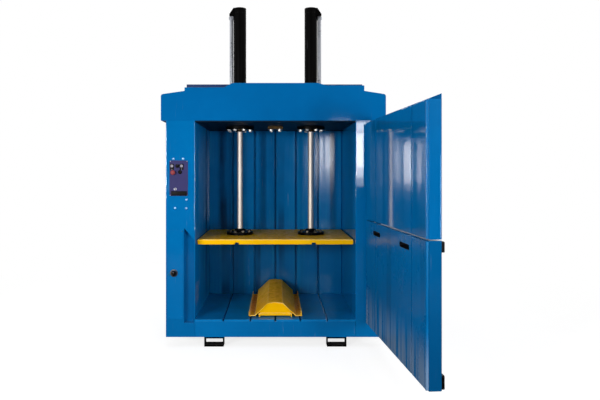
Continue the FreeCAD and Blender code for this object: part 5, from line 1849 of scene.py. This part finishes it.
@dataclass
class Doors:
    """Both doors' details, drawn closed and turned to their open place about the hinge."""

    doors: tuple[tuple[Body, str], ...] = ((Body.UPPER_DOOR, "upper_door"),
                                           (Body.LOWER_DOOR, "lower_door"))
    hinge: Pair = (0.710, -0.039)
    open_angle: float = math.radians(94.3)
    outer: float = -0.086
    inner: float = -0.004
    free_edge: float = -0.642
    stiffener: float = 0.395
    plug_count: int = 7
    plug_margin: float = 0.06
    plug: HeadSize = HeadSize(across_corners=0.016, height=0.0012)
    handle_inset: float = 0.240
    handle_width: float = 0.026
    handle_foot: float = 0.008
    handle_levels: Pair = (1.340 - 0.120, 1.340 + 0.112)
    handle_bead: BeadSize = BeadSize(width=0.005, spacing=0.003)
    slot_centres: Pair = (0.368, -0.259)
    slot_level: float = 0.900
    slot_width: float = 0.190
    slot_height: float = 0.032
    slot_radius: float = 0.015
    slot_depth: float = 0.0812
    slot_play: float = 0.0001
    slot_proud: float = 0.0006
    slot_steps: int = 8
    liner_wall: float = 0.0022
    bead_radius: float = 0.0075
    bead_margin: float = 0.0045
    bead_rise: float = 0.36
    bead_steps: int = 10
    bead_smooth: float = 50.0

    def open_place(self) -> Matrix:
        """The turn from closed to open."""
        shift = Matrix.Translation(Vector((*self.hinge, 0)))
        return shift @ Matrix.Rotation(self.open_angle, 4, "Z") @ shift.inverted()

    def build(self) -> None:
        """Add plug welds, handle welds, slot liners and the beads at the free edges."""
        for body, node in self.doors:
            self.plug_welds(body, node)
        self.handle_welds()
        self.slot_liners()
        for body, node in self.doors:
            self.edge_bead(body, node)

    def plug_welds(self, body: Body, node: str) -> None:
        """Low plug welds down both stiffeners, on a door's outer face.

        Args:
            body: the door's body.
            node: the start of its CAD nodes' names.
        """
        low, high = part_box(node + "_liner")
        place = self.open_place()
        step = (high.z - low.z - 2 * self.plug_margin) / (self.plug_count - 1)
        spots = [place @ Vector((x, self.outer, low.z + self.plug_margin + step * index))
                 for x in (-self.stiffener, self.stiffener) for index in range(self.plug_count)]
        points = aimed_points(node + " plug welds", spots, place.to_3x3() @ -Y_AXIS)
        DomedHeads.build(node + "_plug_welds", points, self.plug, body, Slot.BLUE)

    def handle_welds(self) -> None:
        """Welds round both feet of the handle."""
        place = self.open_place()
        left = self.free_edge + self.handle_inset
        right = left + self.handle_width
        paths = []
        for low in self.handle_levels:
            high = low + self.handle_foot
            square = ((left, low), (right, low), (right, high), (left, high), (left, low))
            paths.append([place @ Vector((x, self.outer, z)) for x, z in square])
        WeldBeads.build("handle_welds", path_mesh("handle welds", paths), self.handle_bead,
                        Body.UPPER_DOOR, Slot.BLUE)

    def slot_liners(self) -> None:
        """Black plastic liners in the two strap slots of the lower door; their black also stands in
        as painted shade inside the slots.
        """
        maker = bmesh.new()
        outer, inner = (
            rounded_outline(self.slot_width - 2 * wall, self.slot_height - 2 * wall,
                            self.slot_radius - wall, self.slot_steps)
            for wall in (self.slot_play, self.liner_wall))
        depth = self.slot_depth
        for centre in self.slot_centres:
            spot = (centre, self.inner - self.slot_proud, self.slot_level)
            place = self.open_place() @ facing(spot, -Y_AXIS)
            rings = [[maker.verts.new(place @ Vector((x, y, level))) for x, y in outline]
                     for outline, level in ((outer, 0), (outer, depth), (inner, depth), (inner, 0))]
            skin(maker, rings + rings[:1])
        piece("slot_liners", mesh_from(maker, "slot liners"), Body.LOWER_DOOR,
              Slot.BLACK_PLASTIC)

    def edge_bead(self, body: Body, node: str) -> None:
        """A low half-round bead down the inner face at a door's free edge.

        Args:
            body: the door's body.
            node: the start of its CAD nodes' names.
        """
        low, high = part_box(node + "_liner")
        radius = self.bead_radius
        centre = self.free_edge + radius + self.bead_margin
        angles = [math.pi * step / self.bead_steps for step in range(self.bead_steps + 1)]
        outline = [(centre + radius * math.cos(angle),
                    self.inner + self.bead_rise * radius * math.sin(angle)) for angle in angles]
        maker = bmesh.new()
        flat_plate(maker, outline, high.z - low.z,
                   self.open_place() @ Matrix.Translation(Vector((0, 0, low.z))))
        bead = mesh_from(maker, node + " bead", self.bead_smooth)
        piece(node + "_edge_bead", bead, body, Slot.BLUE, finish=OWN_FINISH[node + "_liner"])


@dataclass
class Dressing:
    """Materials of the CAD nodes that stay in sight."""

    nodes: dict[str, bpy.types.Object] = field(default_factory=lambda: frame["nodes"])

    def build(self) -> None:
        """Give every CAD node its own finish, or that of its slot."""
        slots = {part["node"]: part["material_slot"] for part in frame["record"]["subparts"]}
        for node, thing in self.nodes.items():
            material = PALETTE.of(OWN_FINISH.get(node) or FINISHES[Slot(slots[node])])
            if thing.data.materials:
                thing.data.materials[0] = material
            else:
                thing.data.materials.append(material)
        LOG.info("dressed %d nodes", len(self.nodes))


def main() -> None:
    """Build the studio and every sub-assembly."""
    logging.basicConfig(level=logging.INFO, format="%(name)s: %(message)s")
    for assembly in (Studio(), Dressing(), Chamber(), Crosshead(), Platen(), Controls(),
                     LockGear(), Doors()):
        LOG.info("building %s", type(assembly).__name__)
        assembly.build()
    bpy.context.scene.view_settings.view_transform = "Standard"


if __name__ == "__main__":
    main()
